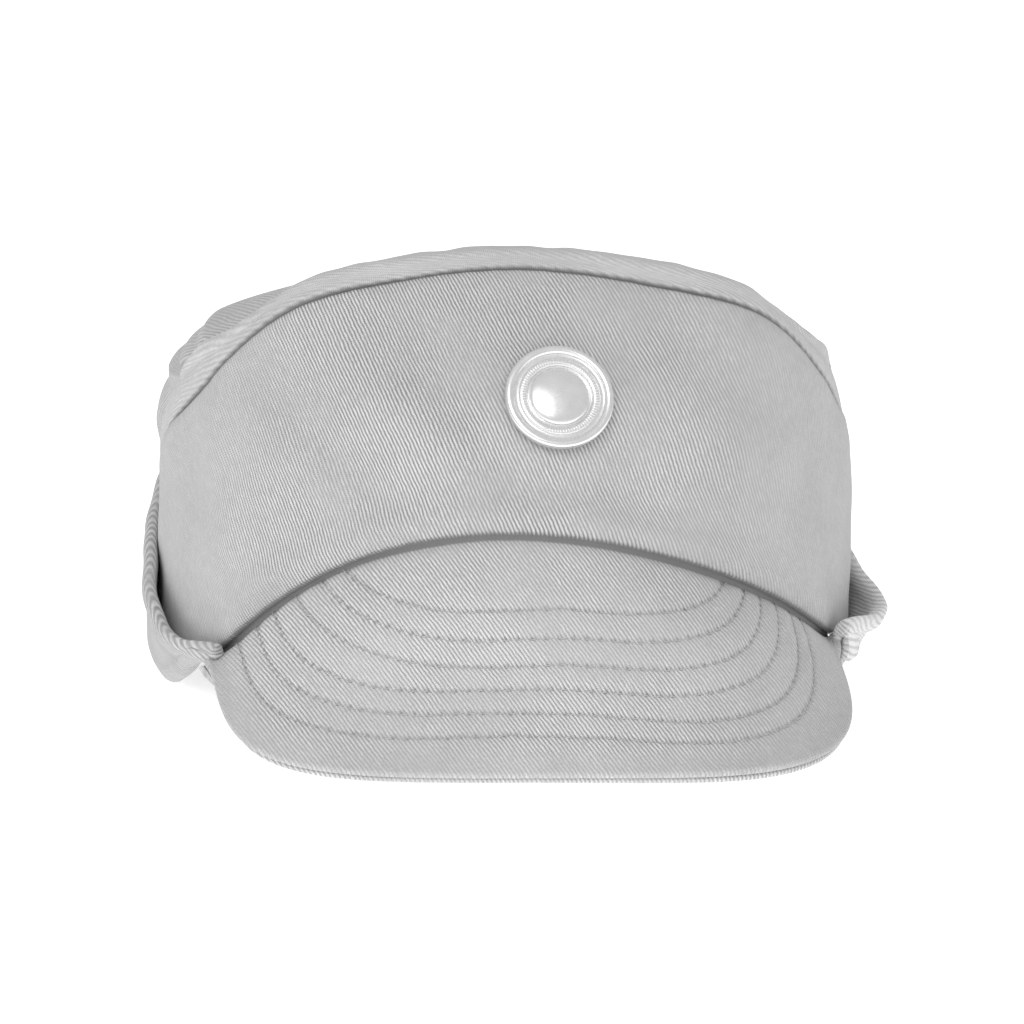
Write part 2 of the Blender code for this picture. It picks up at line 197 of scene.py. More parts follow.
@dataclass(frozen=True)
class HeadForm:
    """The wall that all the cloth follows, from the hem to the top of the crown."""

    origin: tuple[float, float, float] = (-0.001425, 0.01725, 0.0)
    half_width: float = 0.0868
    front: float = 0.098
    rear: float = 0.097
    oval_power: float = 2.15
    crest_height: float = 0.1135
    apex_height: float = 0.104
    crown_fall: float = 0.20
    shoulder_lean: float = 0.0019
    crown_lean: float = 0.0014
    runs: tuple[float, ...] = (0.0, 0.30, 0.62, 0.82, 1.0)
    azimuths: tuple[float, ...] = (0, 25, 45, 66, 84, 105, 135, 160, 180)
    belly_reach: tuple[float, ...] = (.870, .900, .954, .967, .992, .990, 1.000, .995, .990)
    belly_height: tuple[float, ...] = (.740, .696, .588, .432, .386, .337, .317, .308, .308)
    shoulder_reach: tuple[float, ...] = (.588, .660, .804, .905, .960, .940, .935, .920, .915)
    shoulder_height: tuple[float, ...] = (.982, .962, .909, .756, .640, .628, .604, .582, .573)
    crown_reach: tuple[float, ...] = (.491, .555, .665, .800, .840, .810, .770, .720, .710)
    crown_height: tuple[float, ...] = (1.0, .989, .942, .805, .760, .764, .740, .714, .700)
    arch_rise: float = 0.0385
    arch_end: float = 57.5
    arch_fullness: float = 1.25
    arch_lean: float = 0.0035
    flap_front_rise: float = 0.012
    flap_floor_azimuth: float = 84.0
    cloth: float = 0.0018
    flap_cloth: float = 0.0022
    seam_gap: float = 0.0005
    badge_place: tuple[float, float] = (2.2, 0.300)
    seam_azimuth: float = 82.0
    seam_corner: float = 0.39
    seam_top: float = 0.603
    seam_squareness_left: float = 2.85
    seam_squareness_right: float = 2.70
    seam_kink_angle: float = -51.0
    seam_kink_width: float = 5.0
    seam_kink: float = 0.030
    drawn_back_left: float = 15.0
    drawn_back_right: float = 7.0
    drawn_back_start: float = 50.0
    drawn_back_top: float = 0.56
    drawn_back_fade: float = 0.22
    band_width: float = 0.012
    band_smoothing: float = 14.0
    band_reach: int = 40
    arch_steps: int = 361
    top_seam: float = 0.56
    top_seam_rise: float = 0.16
    top_seam_start: float = 60.0
    top_seam_fade: float = 30.0
    cross_step: float = 0.0005

    def oval(self, azimuth: Array) -> Array:
        """Radius of the head oval.

        Args:
            azimuth: degrees round the head.

        Returns:
            Radii in metres.
        """
        side, along = np.abs(np.sin(np.radians(azimuth))), np.abs(np.cos(np.radians(azimuth)))
        length = np.where(np.abs(azimuth) < 90, self.front, self.rear)
        total = (side / self.half_width) ** self.oval_power + (along / length) ** self.oval_power
        return total ** (-1 / self.oval_power)

    def fold_height(self, azimuth: Array) -> Array:
        """Height of the flap's fold, which lifts off the floor towards the peak."""
        span = self.flap_floor_azimuth - self.arch_end
        return self.flap_front_rise * (1 - ease((np.abs(azimuth) - self.arch_end) / span))

    def hem_height(self, azimuth: Array) -> Array:
        """Height of the cloth's lower edge, an arch over the peak.

        Args:
            azimuth: degrees round the head.

        Returns:
            Heights in metres.
        """
        share = np.clip(azimuth / self.arch_end, -1, 1)
        arch = self.arch_rise * (1 - share**2) ** self.arch_fullness
        lean = self.arch_lean * np.sin(math.pi * share)
        return self.fold_height(azimuth) + self.flap_cloth + self.seam_gap + arch - lean

    def profile(self, column: tuple[float, ...], azimuth: Array) -> Array:
        """A column of shares at an azimuth, the same on both sides of the cap."""
        return smooth_through(self.azimuths, column, np.abs(azimuth), 0.0, 0.0)

    def wall(self, azimuth: Array | float, run: Array | float) -> Array:
        """Points on the inner face of the cloth.

        Args:
            azimuth: degrees round the head.
            run: from 0 at the hem to 1 at the top.

        Returns:
            The points, with a last axis of three.
        """
        azimuth, run = np.broadcast_arrays(np.asarray(azimuth, float), np.asarray(run, float))
        azimuth = (azimuth + 180.0) % 360.0 - 180.0
        oval = self.oval(azimuth)
        lean = np.where(np.abs(azimuth) < 90, np.sin(np.radians(2 * azimuth)), 0.0)
        reaches = [self.profile(c, azimuth) for c in
                   (self.belly_reach, self.shoulder_reach, self.crown_reach)]
        heights = [self.crest_height * self.profile(c, azimuth) for c in
                   (self.belly_height, self.shoulder_height, self.crown_height)]
        radii = np.stack([oval] + [oval * reach for reach in reaches] + [0 * oval])
        rises = np.stack([self.hem_height(azimuth), heights[0] - self.shoulder_lean * lean,
                          heights[1] - self.shoulder_lean * lean,
                          heights[2] - self.crown_lean * lean, 0 * oval + self.apex_height])
        inward = -radii[3] / (self.runs[4] - self.runs[3])
        climb = self.crown_fall * np.cos(np.radians(azimuth)) * inward
        radius = smooth_through(self.runs, radii, run, None, inward)
        height = smooth_through(self.runs, rises, run, None, climb)
        turn = np.radians(azimuth)
        points = np.stack([radius * np.sin(turn), -radius * np.cos(turn), height], -1)
        return points + np.array(self.origin)

    def seam_line(self, angle: Array) -> tuple[Array, Array]:
        """A place on the front seam's arch.

        Args:
            angle: degrees round the arch, from -90 to 90, 0 at its top.

        Returns:
            Azimuths and runs.
        """
        squareness = mix(self.seam_squareness_left, self.seam_squareness_right,
                         ease(angle / 60 + 0.5))
        across, upward = rounded_corner(angle, squareness)
        pinch = 1 - self.seam_kink * hump(angle - self.seam_kink_angle, self.seam_kink_width)
        return (self.seam_azimuth * across * pinch,
                mix(self.seam_corner, self.seam_top, upward * pinch))

    def drawn_back(self, azimuth: Array, run: Array) -> Array:
        """Azimuth of the cloth where the seam's lower part is drawn back round each side.

        Args:
            azimuth: degrees round the head, before it is drawn back.
            run: from 0 at the hem to 1 at the top.

        Returns:
            Azimuths in degrees.
        """
        around, seam, start = np.abs(azimuth), self.seam_azimuth, self.drawn_back_start
        share = np.where(around < seam, ease((around - start) / (seam - start)),
                         (180 - around) / (180 - seam))
        low = ease((self.drawn_back_top - run) / self.drawn_back_fade)
        return azimuth + np.where(azimuth < 0, -self.drawn_back_left, self.drawn_back_right) * share * low

    def top_seam_run(self, azimuth: Array) -> Array:
        """Run of the seam between the sides and the crown."""
        rise = ease((np.abs(azimuth) - self.top_seam_start) / self.top_seam_fade)
        return self.top_seam + self.top_seam_rise * rise

    def seam_arch(self, angle: Array, outward: float) -> tuple[Array, Array]:
        """The arch of the front seam, moved outward across the cloth in short steps.

        Args:
            angle: degrees round the arch.
            outward: how far it is moved.

        Returns:
            Azimuths and runs.
        """
        turn, climb = 0.2, 0.002
        azimuth, run = self.seam_line(angle)
        seam = (self.wall(*self.seam_line(np.minimum(angle + 1, 90)))
                - self.wall(*self.seam_line(np.maximum(angle - 1, -90))))
        whole = int(outward / self.cross_step)
        for length in [self.cross_step] * whole + [outward - whole * self.cross_step]:
            here = self.wall(azimuth, run)
            around = self.wall(azimuth + turn, run) - here
            upward = self.wall(azimuth, run + climb) - here
            along_up = (upward * seam).sum(-1)
            along_round = (around * seam).sum(-1)
            move = upward * along_round[..., None] - around * along_up[..., None]
            share = length / np.linalg.norm(move, axis=-1)
            azimuth = azimuth - turn * along_up * share
            run = run + climb * along_round * share
        return azimuth, run

    def band_place(self, angle: Array, share: Array | float) -> tuple[Array, Array]:
        """Azimuths and runs on the band.

        Args:
            angle: round the seam, from -90 to 90 degrees.
            share: of the band's width, from 0 at the seam to 1 at its outer edge.

        Returns:
            Azimuths and runs.
        """
        angles = np.linspace(-90.0, 90.0, self.arch_steps)
        inner = np.stack(self.seam_arch(angles, self.seam_gap))
        outer = np.stack(self.seam_arch(angles, self.seam_gap + self.band_width))
        reach = self.band_reach
        weights = np.exp(-0.5 * (np.arange(-reach, reach + 1) / self.band_smoothing) ** 2)
        change = np.pad(outer - inner, ((0, 0), (reach, reach)), "edge")
        outer = inner + np.stack([np.convolve(row, weights / weights.sum(), "valid") for row in change])
        azimuth, run = (mix(np.interp(angle, angles, low), np.interp(angle, angles, high), share)
                        for low, high in zip(inner, outer))
        return azimuth, run

    def seam_angle(self, share: float, side: int) -> float:
        """The angle at which a line along the band meets the crown's side seam.

        Args:
            share: of the band's width, at which the line runs.
            side: -1 or 1, the sign of the azimuths there.

        Returns:
            Degrees round the arch.
        """
        angles = np.linspace(0.0, 90.0, self.arch_steps)
        azimuths, runs = self.band_place(side * angles, share)
        return side * float(np.interp(0.0, self.top_seam_run(azimuths) - runs, angles))

    def seam_side(self, run: Array, share: float, side: int) -> Array:
        """Azimuth of a line along the band at each run, on the side of that sign."""
        azimuths, runs = self.band_place(side * np.linspace(90.0, 0.0, self.arch_steps), share)
        return np.where(run <= runs[0], azimuths[0], np.interp(run, runs, azimuths))

    def cut_cloth(self, azimuth: Array, run: Array) -> Array:
        """Places on the flat cloth, level across and upright from the hem, for the weave.

        Args:
            azimuth: degrees round the head.
            run: from 0 at the hem to 1 at the top.

        Returns:
            Distances across and up in metres, with a last axis of two.
        """
        far, steps = 190, 100
        azimuths, runs = np.linspace(-far, far, 2 * far + 1), np.linspace(0, 1, steps + 1)
        grid = self.wall(azimuths[:, None], runs[None, :])
        across = totals(np.linalg.norm(np.diff(grid[..., :2], axis=0), axis=-1))
        across -= across[far]
        up = totals(np.linalg.norm(np.diff(grid, axis=1), axis=-1), 1) + grid[:, :1, 2]
        azimuth, run = np.broadcast_arrays(azimuth, run)
        place = np.clip(azimuth + far, 0, 2 * far - 0.001)
        height = np.clip(run, 0, 0.99999) * steps
        column, row = np.floor(place).astype(int), np.floor(height).astype(int)
        a, b = place - column, height - row
        out = []
        for table in (across, up):
            low = mix(table[column, row], table[column + 1, row], a)
            high = mix(table[column, row + 1], table[column + 1, row + 1], a)
            out.append(mix(low, high, b))
        return np.stack(out, -1)


def nearest(points: Array, samples: Array) -> tuple[Array, Array]:
    """For each point, the distance to the nearest sample and that sample's number.

    Args:
        points: any array of points.
        samples: a list of points.

    Returns:
        Distances and numbers, one for each point.
    """
    tree = kdtree.KDTree(len(samples))
    for i, sample in enumerate(samples):
        tree.insert(sample, i)
    tree.balance()
    found = [tree.find(point) for point in points.reshape(-1, 3)]
    distances = np.array([item[2] for item in found]).reshape(points.shape[:-1])
    return distances, np.array([item[1] for item in found]).reshape(points.shape[:-1])


def resample(line: Array, spacing: float) -> tuple[Array, Array]:
    """A line of points at an even spacing, and the distance along it of each.

    Args:
        line: the points to follow.
        spacing: about the distance between the new ones.

    Returns:
        The new points and their distances.
    """
    along = totals(np.linalg.norm(np.diff(line, axis=0), axis=1))
    even = np.linspace(0.0, along[-1], max(2, int(along[-1] / spacing) + 1))
    return np.stack([np.interp(even, along, line[:, k]) for k in range(3)], -1), even


@dataclass
class ClothGrid:
    """One piece of cloth as a grid of rows and columns on its inner face.

    Columns run so that across x up faces out. The cloth is ended by a half-round rolled edge. Where
    it is closed, the first and last columns are one and the last row is one point.
    """

    inner: Array
    places: Array
    thickness: float
    closed: bool = False
    normals: Array = field(init=False)
    drape: Array = field(init=False)
    relief: Array = field(init=False)
    backing: Array = field(init=False)
    nap: Array = field(init=False)
    # Painted light and shade added to the colour, darker below zero.
    painted_light_and_shade: Array = field(init=False)
    edge_distance: Array = field(init=False)

    def __post_init__(self) -> None:
        """Works out the facing of each point and its distance to the edge."""
        self.normals = self.facing()
        shape = self.inner.shape[:2]
        self.drape, self.relief, self.backing = (np.zeros(shape) for _ in range(3))
        self.nap, self.painted_light_and_shade = np.ones(shape), np.zeros(shape)
        border = [self.inner[0]]
        if not self.closed:
            border += [self.inner[-1], self.inner[:, 0], self.inner[:, -1]]
        samples = np.concatenate([resample(line, 0.12 * MM)[0] for line in border])
        self.edge_distance = nearest(self.inner, samples)[0]
        self.edge_distance[self.is_border()] = 0.0

    def facing(self) -> Array:
        """Outward directions.

        Returns:
            One direction for each point.
        """
        points = self.inner
        if self.closed:
            wide = np.concatenate([points[:, -2:-1], points, points[:, 1:2]], 1)
            across = wide[:, 2:] - wide[:, :-2]
        else:
            across = np.gradient(points, axis=1)
        normals = np.cross(across, np.gradient(points, axis=0))
        if self.closed:
            normals[-1] = unit(normals[-2]).mean(0)
        return unit(normals)

    def is_border(self) -> Array:
        """Where the grid ends.

        Returns:
            True at each point of its edges.
        """
        border = np.zeros(self.inner.shape[:2], bool)
        border[0] = True
        if not self.closed:
            border[-1] = border[:, 0] = border[:, -1] = True
        return border

    def faces_of_cloth(self) -> tuple[Array, Array]:
        """The outer and inner faces, rolled together at the edge.

        Returns:
            Their points, rows by columns.
        """
        half = self.thickness / 2
        depth = np.minimum(self.edge_distance, half)
        swell = np.sqrt(np.maximum(half**2 - (half - depth) ** 2, 0.0))
        share = swell / half
        middle = self.inner + self.normals * (half + self.drape)[..., None]
        outer = middle + self.normals * (swell + self.relief * share)[..., None]
        inner = middle - self.normals * (swell + self.backing * share)[..., None]
        return outer, inner

    def make(self, name: str, material: bpy.types.Material) -> bpy.types.Object:
        """Builds the closed mesh.

        Args:
            name: the piece's name.
            material: its finish.

        Returns:
            The new object, at the origin.
        """
        rows, columns = self.inner.shape[:2]
        outer, inner = self.faces_of_cloth()
        count = rows * columns
        front = np.arange(count).reshape(rows, columns)
        back = np.where(self.is_border(), front, front + count)
        quads = []
        for index, flip in ((front, False), (back, True)):
            quad = np.stack([index[:-1, :-1], index[:-1, 1:], index[1:, 1:], index[1:, :-1]], -1)
            quads.append((quad[..., ::-1] if flip else quad).reshape(-1, 4))
        mesh = bpy.data.meshes.new(name)
        points = np.concatenate([outer.reshape(-1, 3), inner.reshape(-1, 3)])
        mesh.from_pydata(points.tolist(), [], np.concatenate(quads).tolist())
        loops = np.empty(len(mesh.loops), np.int32)
        mesh.loops.foreach_get("vertex_index", loops)
        layer = mesh.uv_layers.new(name=CLOTH_MAP)
        places = np.concatenate([self.places.reshape(-1, 2)] * 2)
        layer.data.foreach_set("uv", places[loops].astype(np.float32).ravel())
        for title, values in ((NAP, self.nap), (PAINTED_LIGHT_AND_SHADE, self.painted_light_and_shade)):
            attribute = mesh.attributes.new(title, "FLOAT", "POINT")
            attribute.data.foreach_set("value", np.tile(values.ravel(), 2).astype(np.float32))
        bm = bmesh.new()
        bm.from_mesh(mesh)
        bmesh.ops.delete(bm, geom=[v for v in bm.verts if not v.link_faces], context="VERTS")
        if self.closed:
            bmesh.ops.remove_doubles(bm, verts=bm.verts, dist=1e-6)
        bmesh.ops.dissolve_degenerate(bm, edges=bm.edges, dist=1e-7)
        bm.to_mesh(mesh)
        bm.free()
        mesh.shade_smooth()
        mesh.materials.append(material)
        return linked(name, mesh)


class Term:
    """A socket's value with Python's arithmetic, which adds Math nodes."""

    def __init__(self, tree: bpy.types.NodeTree, socket: bpy.types.NodeSocket) -> None:
        """Holds the socket and the tree that it is in."""
        self.tree = tree
        self.socket = socket

    def math(self, operation: str, *others: "Term | float", flip: bool = False) -> "Term":
        """One Math node over this value and the others.

        Args:
            operation: the node's operation.
            others: the values after this one.
            flip: whether the values are fed in reverse.

        Returns:
            The node's value.
        """
        node = self.tree.nodes.new("ShaderNodeMath")
        node.operation = operation
        values = [self, *others]
        for socket, value in zip(node.inputs, reversed(values) if flip else values):
            if isinstance(value, Term):
                self.tree.links.new(value.socket, socket)
            else:
                socket.default_value = value
        return Term(self.tree, node.outputs[0])

    def __add__(self, other: "Term | float") -> "Term":
        """Sum."""
        return self.math("ADD", other)

    __radd__ = __add__

    def __mul__(self, other: "Term | float") -> "Term":
        """Product."""
        return self.math("MULTIPLY", other)

    __rmul__ = __mul__

    def __sub__(self, other: "Term | float") -> "Term":
        """Difference."""
        return self.math("SUBTRACT", other)

    def __rsub__(self, other: "Term | float") -> "Term":
        """Difference from a number."""
        return self.math("SUBTRACT", other, flip=True)

    def __truediv__(self, other: "Term | float") -> "Term":
        """Quotient."""
        return self.math("DIVIDE", other)

    def __pow__(self, other: "Term | float") -> "Term":
        """Power."""
        return self.math("POWER", other)

    def wave(self) -> "Term":
        """A cosine from 0 to 1 with one crest for each whole number."""
        return (self * (2 * math.pi)).math("COSINE") * 0.5 + 0.5

    def held(self, low: float = 0.0, high: float = 1.0) -> "Term":
        """The value kept between two limits."""
        return self.math("MAXIMUM", low).math("MINIMUM", high)


class Finish:
    """Writes one material's nodes."""

    def __init__(self, name: str) -> None:
        """Starts a material with its Principled shader.

        Args:
            name: the material's name.
        """
        self.material = bpy.data.materials.new(name)
        self.material.use_nodes = True
        self.tree = self.material.node_tree
        self.shader = self.tree.nodes["Principled BSDF"]

    def node(self, kind: str, settings: dict, inputs: dict, output: int | str = 0) -> Term:
        """Adds a node.

        Args:
            kind: the node's type.
            settings: its properties, set first.
            inputs: values or terms by socket name or number.
            output: the output to use.

        Returns:
            The output as a term.
        """
        node = self.tree.nodes.new(kind)
        for key, value in settings.items():
            setattr(node, key, value)
        for key, value in inputs.items():
            self.feed(node.inputs[key], value)
        return Term(self.tree, node.outputs[output])

    def feed(self, socket: bpy.types.NodeSocket, value: "Term | float | tuple") -> None:
        """Links a term to a socket, or sets its value.

        Args:
            socket: the socket to feed.
            value: the term, or a plain value.
        """
        if isinstance(value, Term):
            self.tree.links.new(value.socket, socket)
        else:
            socket.default_value = value

    def set(self, **values: "Term | float | tuple") -> None:
        """Feeds the shader's sockets, named with underscores for spaces."""
        for key, value in values.items():
            self.feed(self.shader.inputs[key.replace("_", " ")], value)

    def noise(self, vector: Term, scale: float, detail: float = 2.0, rough: float = 0.5) -> Term:
        """A noise from 0 to 1 over a vector."""
        return self.node("ShaderNodeTexNoise", {}, {
            "Vector": vector, "Scale": scale, "Detail": detail, "Roughness": rough})

    def pair(self, x: "Term | float", y: "Term | float", z: "Term | float" = 0.0) -> Term:
        """A vector of three values."""
        return self.node("ShaderNodeCombineXYZ", {}, {0: x, 1: y, 2: z})

    def grey(self, factor: Term, dark: float, light: float) -> Term:
        """A neutral colour between two levels."""
        return self.node("ShaderNodeMix", {"data_type": "RGBA"}, {
            0: factor, 6: (dark, dark, dark, 1.0), 7: (light, light, light, 1.0)}, 2)


@dataclass(frozen=True)
class TwillFinish:
    """Matt cotton twill: steep round ribs over finer yarns, softly mottled."""

    name: str
    level: float = 0.50
    rib_angle: float = 68.0
    rib_pitch: float = 0.91 * MM
    contrast: float = 0.90
    rib_depth: float = 0.10 * MM
    drift: float = 0.8
    jitter: float = 0.45
    yarn_relief: float = 0.35
    mottle: float = 0.22
    blotch: float = 0.14
    grain: float = 0.34
    lint: float = 0.10

    def material(self) -> bpy.types.Material:
        """Builds the finish.

        Returns:
            The material.
        """
        finish = Finish(self.name)
        turn = math.radians(self.rib_angle)
        cloth = finish.node("ShaderNodeUVMap", {"uv_map": CLOTH_MAP}, {})
        x = finish.node("ShaderNodeSeparateXYZ", {}, {0: cloth}, 0)
        y = finish.node("ShaderNodeSeparateXYZ", {}, {0: cloth}, 1)
        nap = finish.node("ShaderNodeAttribute", {"attribute_name": NAP}, {}, 2)
        # Painted light and shade, read from the points and added to the colour below.
        painted_light_and_shade = finish.node("ShaderNodeAttribute", {"attribute_name": PAINTED_LIGHT_AND_SHADE}, {}, 2)

        drift = finish.noise(cloth, 90.0, 2.0) - 0.5
        jitter = finish.noise(cloth, 700.0, 1.0) - 0.5
        across = ((x * math.sin(turn) + y * math.cos(turn)) / self.rib_pitch
                  + drift * self.drift + jitter * self.jitter)
        along = (x * math.cos(turn) - y * math.sin(turn)) / self.rib_pitch
        yarn = finish.noise(finish.pair(across * 0.8, along * 0.34), 1.0, 3.0, 0.6)
        rib = across.wave() ** 0.85
        float_row = across.math("FLOOR") * 0.37
        threads = (along * 1.9 + float_row + yarn * 0.8).wave()

        soft = finish.noise(cloth, 34.0, 3.0, 0.55)
        faded = finish.node("ShaderNodeMapRange", {"interpolation_type": "SMOOTHSTEP"}, {
            "Value": soft, "From Min": 0.36, "From Max": 0.60, "To Min": 0.45, "To Max": 1.0})
        strength = nap * faded * (yarn * 2.2 - 0.08).held(0.15, 1.8)
        relief = ((rib - 0.5) * strength + (threads - 0.5) * (yarn * 0.5)
                  + (yarn - 0.5) * self.yarn_relief)

        mottle = (finish.noise(cloth, 52.0, 4.0, 0.6) - 0.5) * self.mottle
        blotch = (finish.noise(cloth, 17.0, 2.0) - 0.5) * self.blotch
        grain = (finish.noise(cloth, 2300.0, 2.0) - 0.5) * self.grain
        lint = finish.node("ShaderNodeMapRange", {}, {
            "Value": finish.noise(cloth, 420.0, 1.0), "From Min": 0.74, "From Max": 0.80})
        # The colour adds the points' painted light and shade to the weave's own tones.
        value = relief * self.contrast + mottle + blotch + grain + lint * self.lint + painted_light_and_shade + 0.5
        finish.set(
            Base_Color=finish.grey(value.held(), self.level * 0.45, self.level * 1.55),
            Roughness=(0.97 - rib * 0.08).held(),
            Normal=finish.node("ShaderNodeBump", {}, {
                "Strength": 0.8, "Distance": self.rib_depth,
                "Height": relief + grain * 0.6 + mottle * 0.8}),
            Sheen_Weight=0.12, Sheen_Roughness=0.55, Specular_IOR_Level=0.22)
        return finish.material


@dataclass(frozen=True)
class ThreadFinish:
    """Twisted cotton sewing thread."""

    name: str = "stitch_thread"
    level: float = 0.52
    twist: float = 0.42 * MM

    def material(self) -> bpy.types.Material:
        """Builds the finish.

        Returns:
            The material.
        """
        finish = Finish(self.name)
        place = finish.node("ShaderNodeTexCoord", {}, {}, "Object")
        x, y, z = (finish.node("ShaderNodeSeparateXYZ", {}, {0: place}, k) for k in range(3))
        ply = ((x + y * 0.8 + z * 0.7) / self.twist).wave()
        fuzz = finish.noise(place, 1800.0, 2.0)
        value = (ply * 0.35 + fuzz * 0.6).held()
        finish.set(
            Base_Color=finish.grey(value, self.level * 0.72, self.level * 1.28),
            Roughness=(fuzz * 0.15 + 0.75).held(),
            Normal=finish.node("ShaderNodeBump", {}, {
                "Strength": 0.7, "Distance": 0.06 * MM, "Height": ply + fuzz * 0.5}),
            Sheen_Weight=0.1, Specular_IOR_Level=0.25)
        return finish.material


class MetalKind(Enum):
    """How a piece of metal is worked."""

    TURNED = "turned"
    STAMPED = "stamped"


@dataclass(frozen=True)
class MetalFinish:
    """Bare metal, turned on a lathe or stamped plain."""

    name: str
    kind: MetalKind
    level: float
    roughness: float

    def material(self) -> bpy.types.Material:
        """Builds the finish.

        Returns:
            The material.
        """
        finish = Finish(self.name)
        place = finish.node("ShaderNodeTexCoord", {}, {}, "Object")
        haze = finish.noise(place, 260.0, 4.0, 0.65)
        scratch = finish.noise(finish.node("ShaderNodeVectorMath", {"operation": "MULTIPLY"}, {
            0: place, 1: (900.0, 900.0, 9000.0)}), 1.0, 2.0)
        lines = scratch
        if self.kind is MetalKind.TURNED:
            turned = finish.node("ShaderNodeUVMap", {"uv_map": CLOTH_MAP}, {})
            radius = finish.node("ShaderNodeSeparateXYZ", {}, {0: turned}, 0)
            lines = finish.noise(finish.pair(radius * 9000.0, 0.0), 1.0, 3.0, 0.7)
        finish.set(
            Base_Color=finish.grey((haze * 0.5 + lines * 0.5).held(), self.level * 0.84,
                                   min(self.level * 1.12, 1.0)),
            Metallic=1.0,
            Roughness=((haze - 0.5) * 0.16 + (lines - 0.5) * 0.16 + self.roughness).held(0.05),
            Normal=finish.node("ShaderNodeBump", {}, {
                "Strength": 0.35, "Distance": 0.02 * MM, "Height": lines + haze * 0.3}))
        return finish.material


def settle(piece: bpy.types.Object, slot: str, *nodes: str) -> None:
    """Rides a piece on the cap and hides the solids that it stands for.

    Args:
        piece: the finished object.
        slot: not used.
        nodes: names of those solids, if any.
    """
    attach(piece, "root")
    if nodes:
        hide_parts(*nodes)
    log.info("%s: %d faces", piece.name, len(piece.data.polygons))


@dataclass(frozen=True)
class Dent:
    """A soft hollow, or a swelling where its depth is below zero, at a place on the wall."""

    azimuth: float
    run: float
    length: float
    width: float
    turn: float
    depth: float

    def at(self, points: Array, form: HeadForm) -> Array:
        """How far it moves each point, inward below zero.

        Args:
            points: any array of points.
            form: the wall that the place is on.

        Returns:
            One distance for each point.
        """
        centre = form.wall(self.azimuth, self.run)
        level = unit(form.wall(self.azimuth + 1, self.run) - form.wall(self.azimuth - 1, self.run))
        upright = unit(form.wall(self.azimuth, self.run + 0.01) - centre)
        angle = math.radians(self.turn)
        along = level * math.cos(angle) + upright * math.sin(angle)
        across = upright * math.cos(angle) - level * math.sin(angle)
        away = points - centre
        a, b = (away @ along) / self.length, (away @ across) / self.width
        depth = away - np.outer(away @ along, along).reshape(away.shape)
        depth = depth - np.outer(depth @ across, across).reshape(away.shape)
        c = np.linalg.norm(depth, axis=-1) / (2 * self.length)
        return -self.depth * np.exp(-(a**2 + b**2 + c**2))


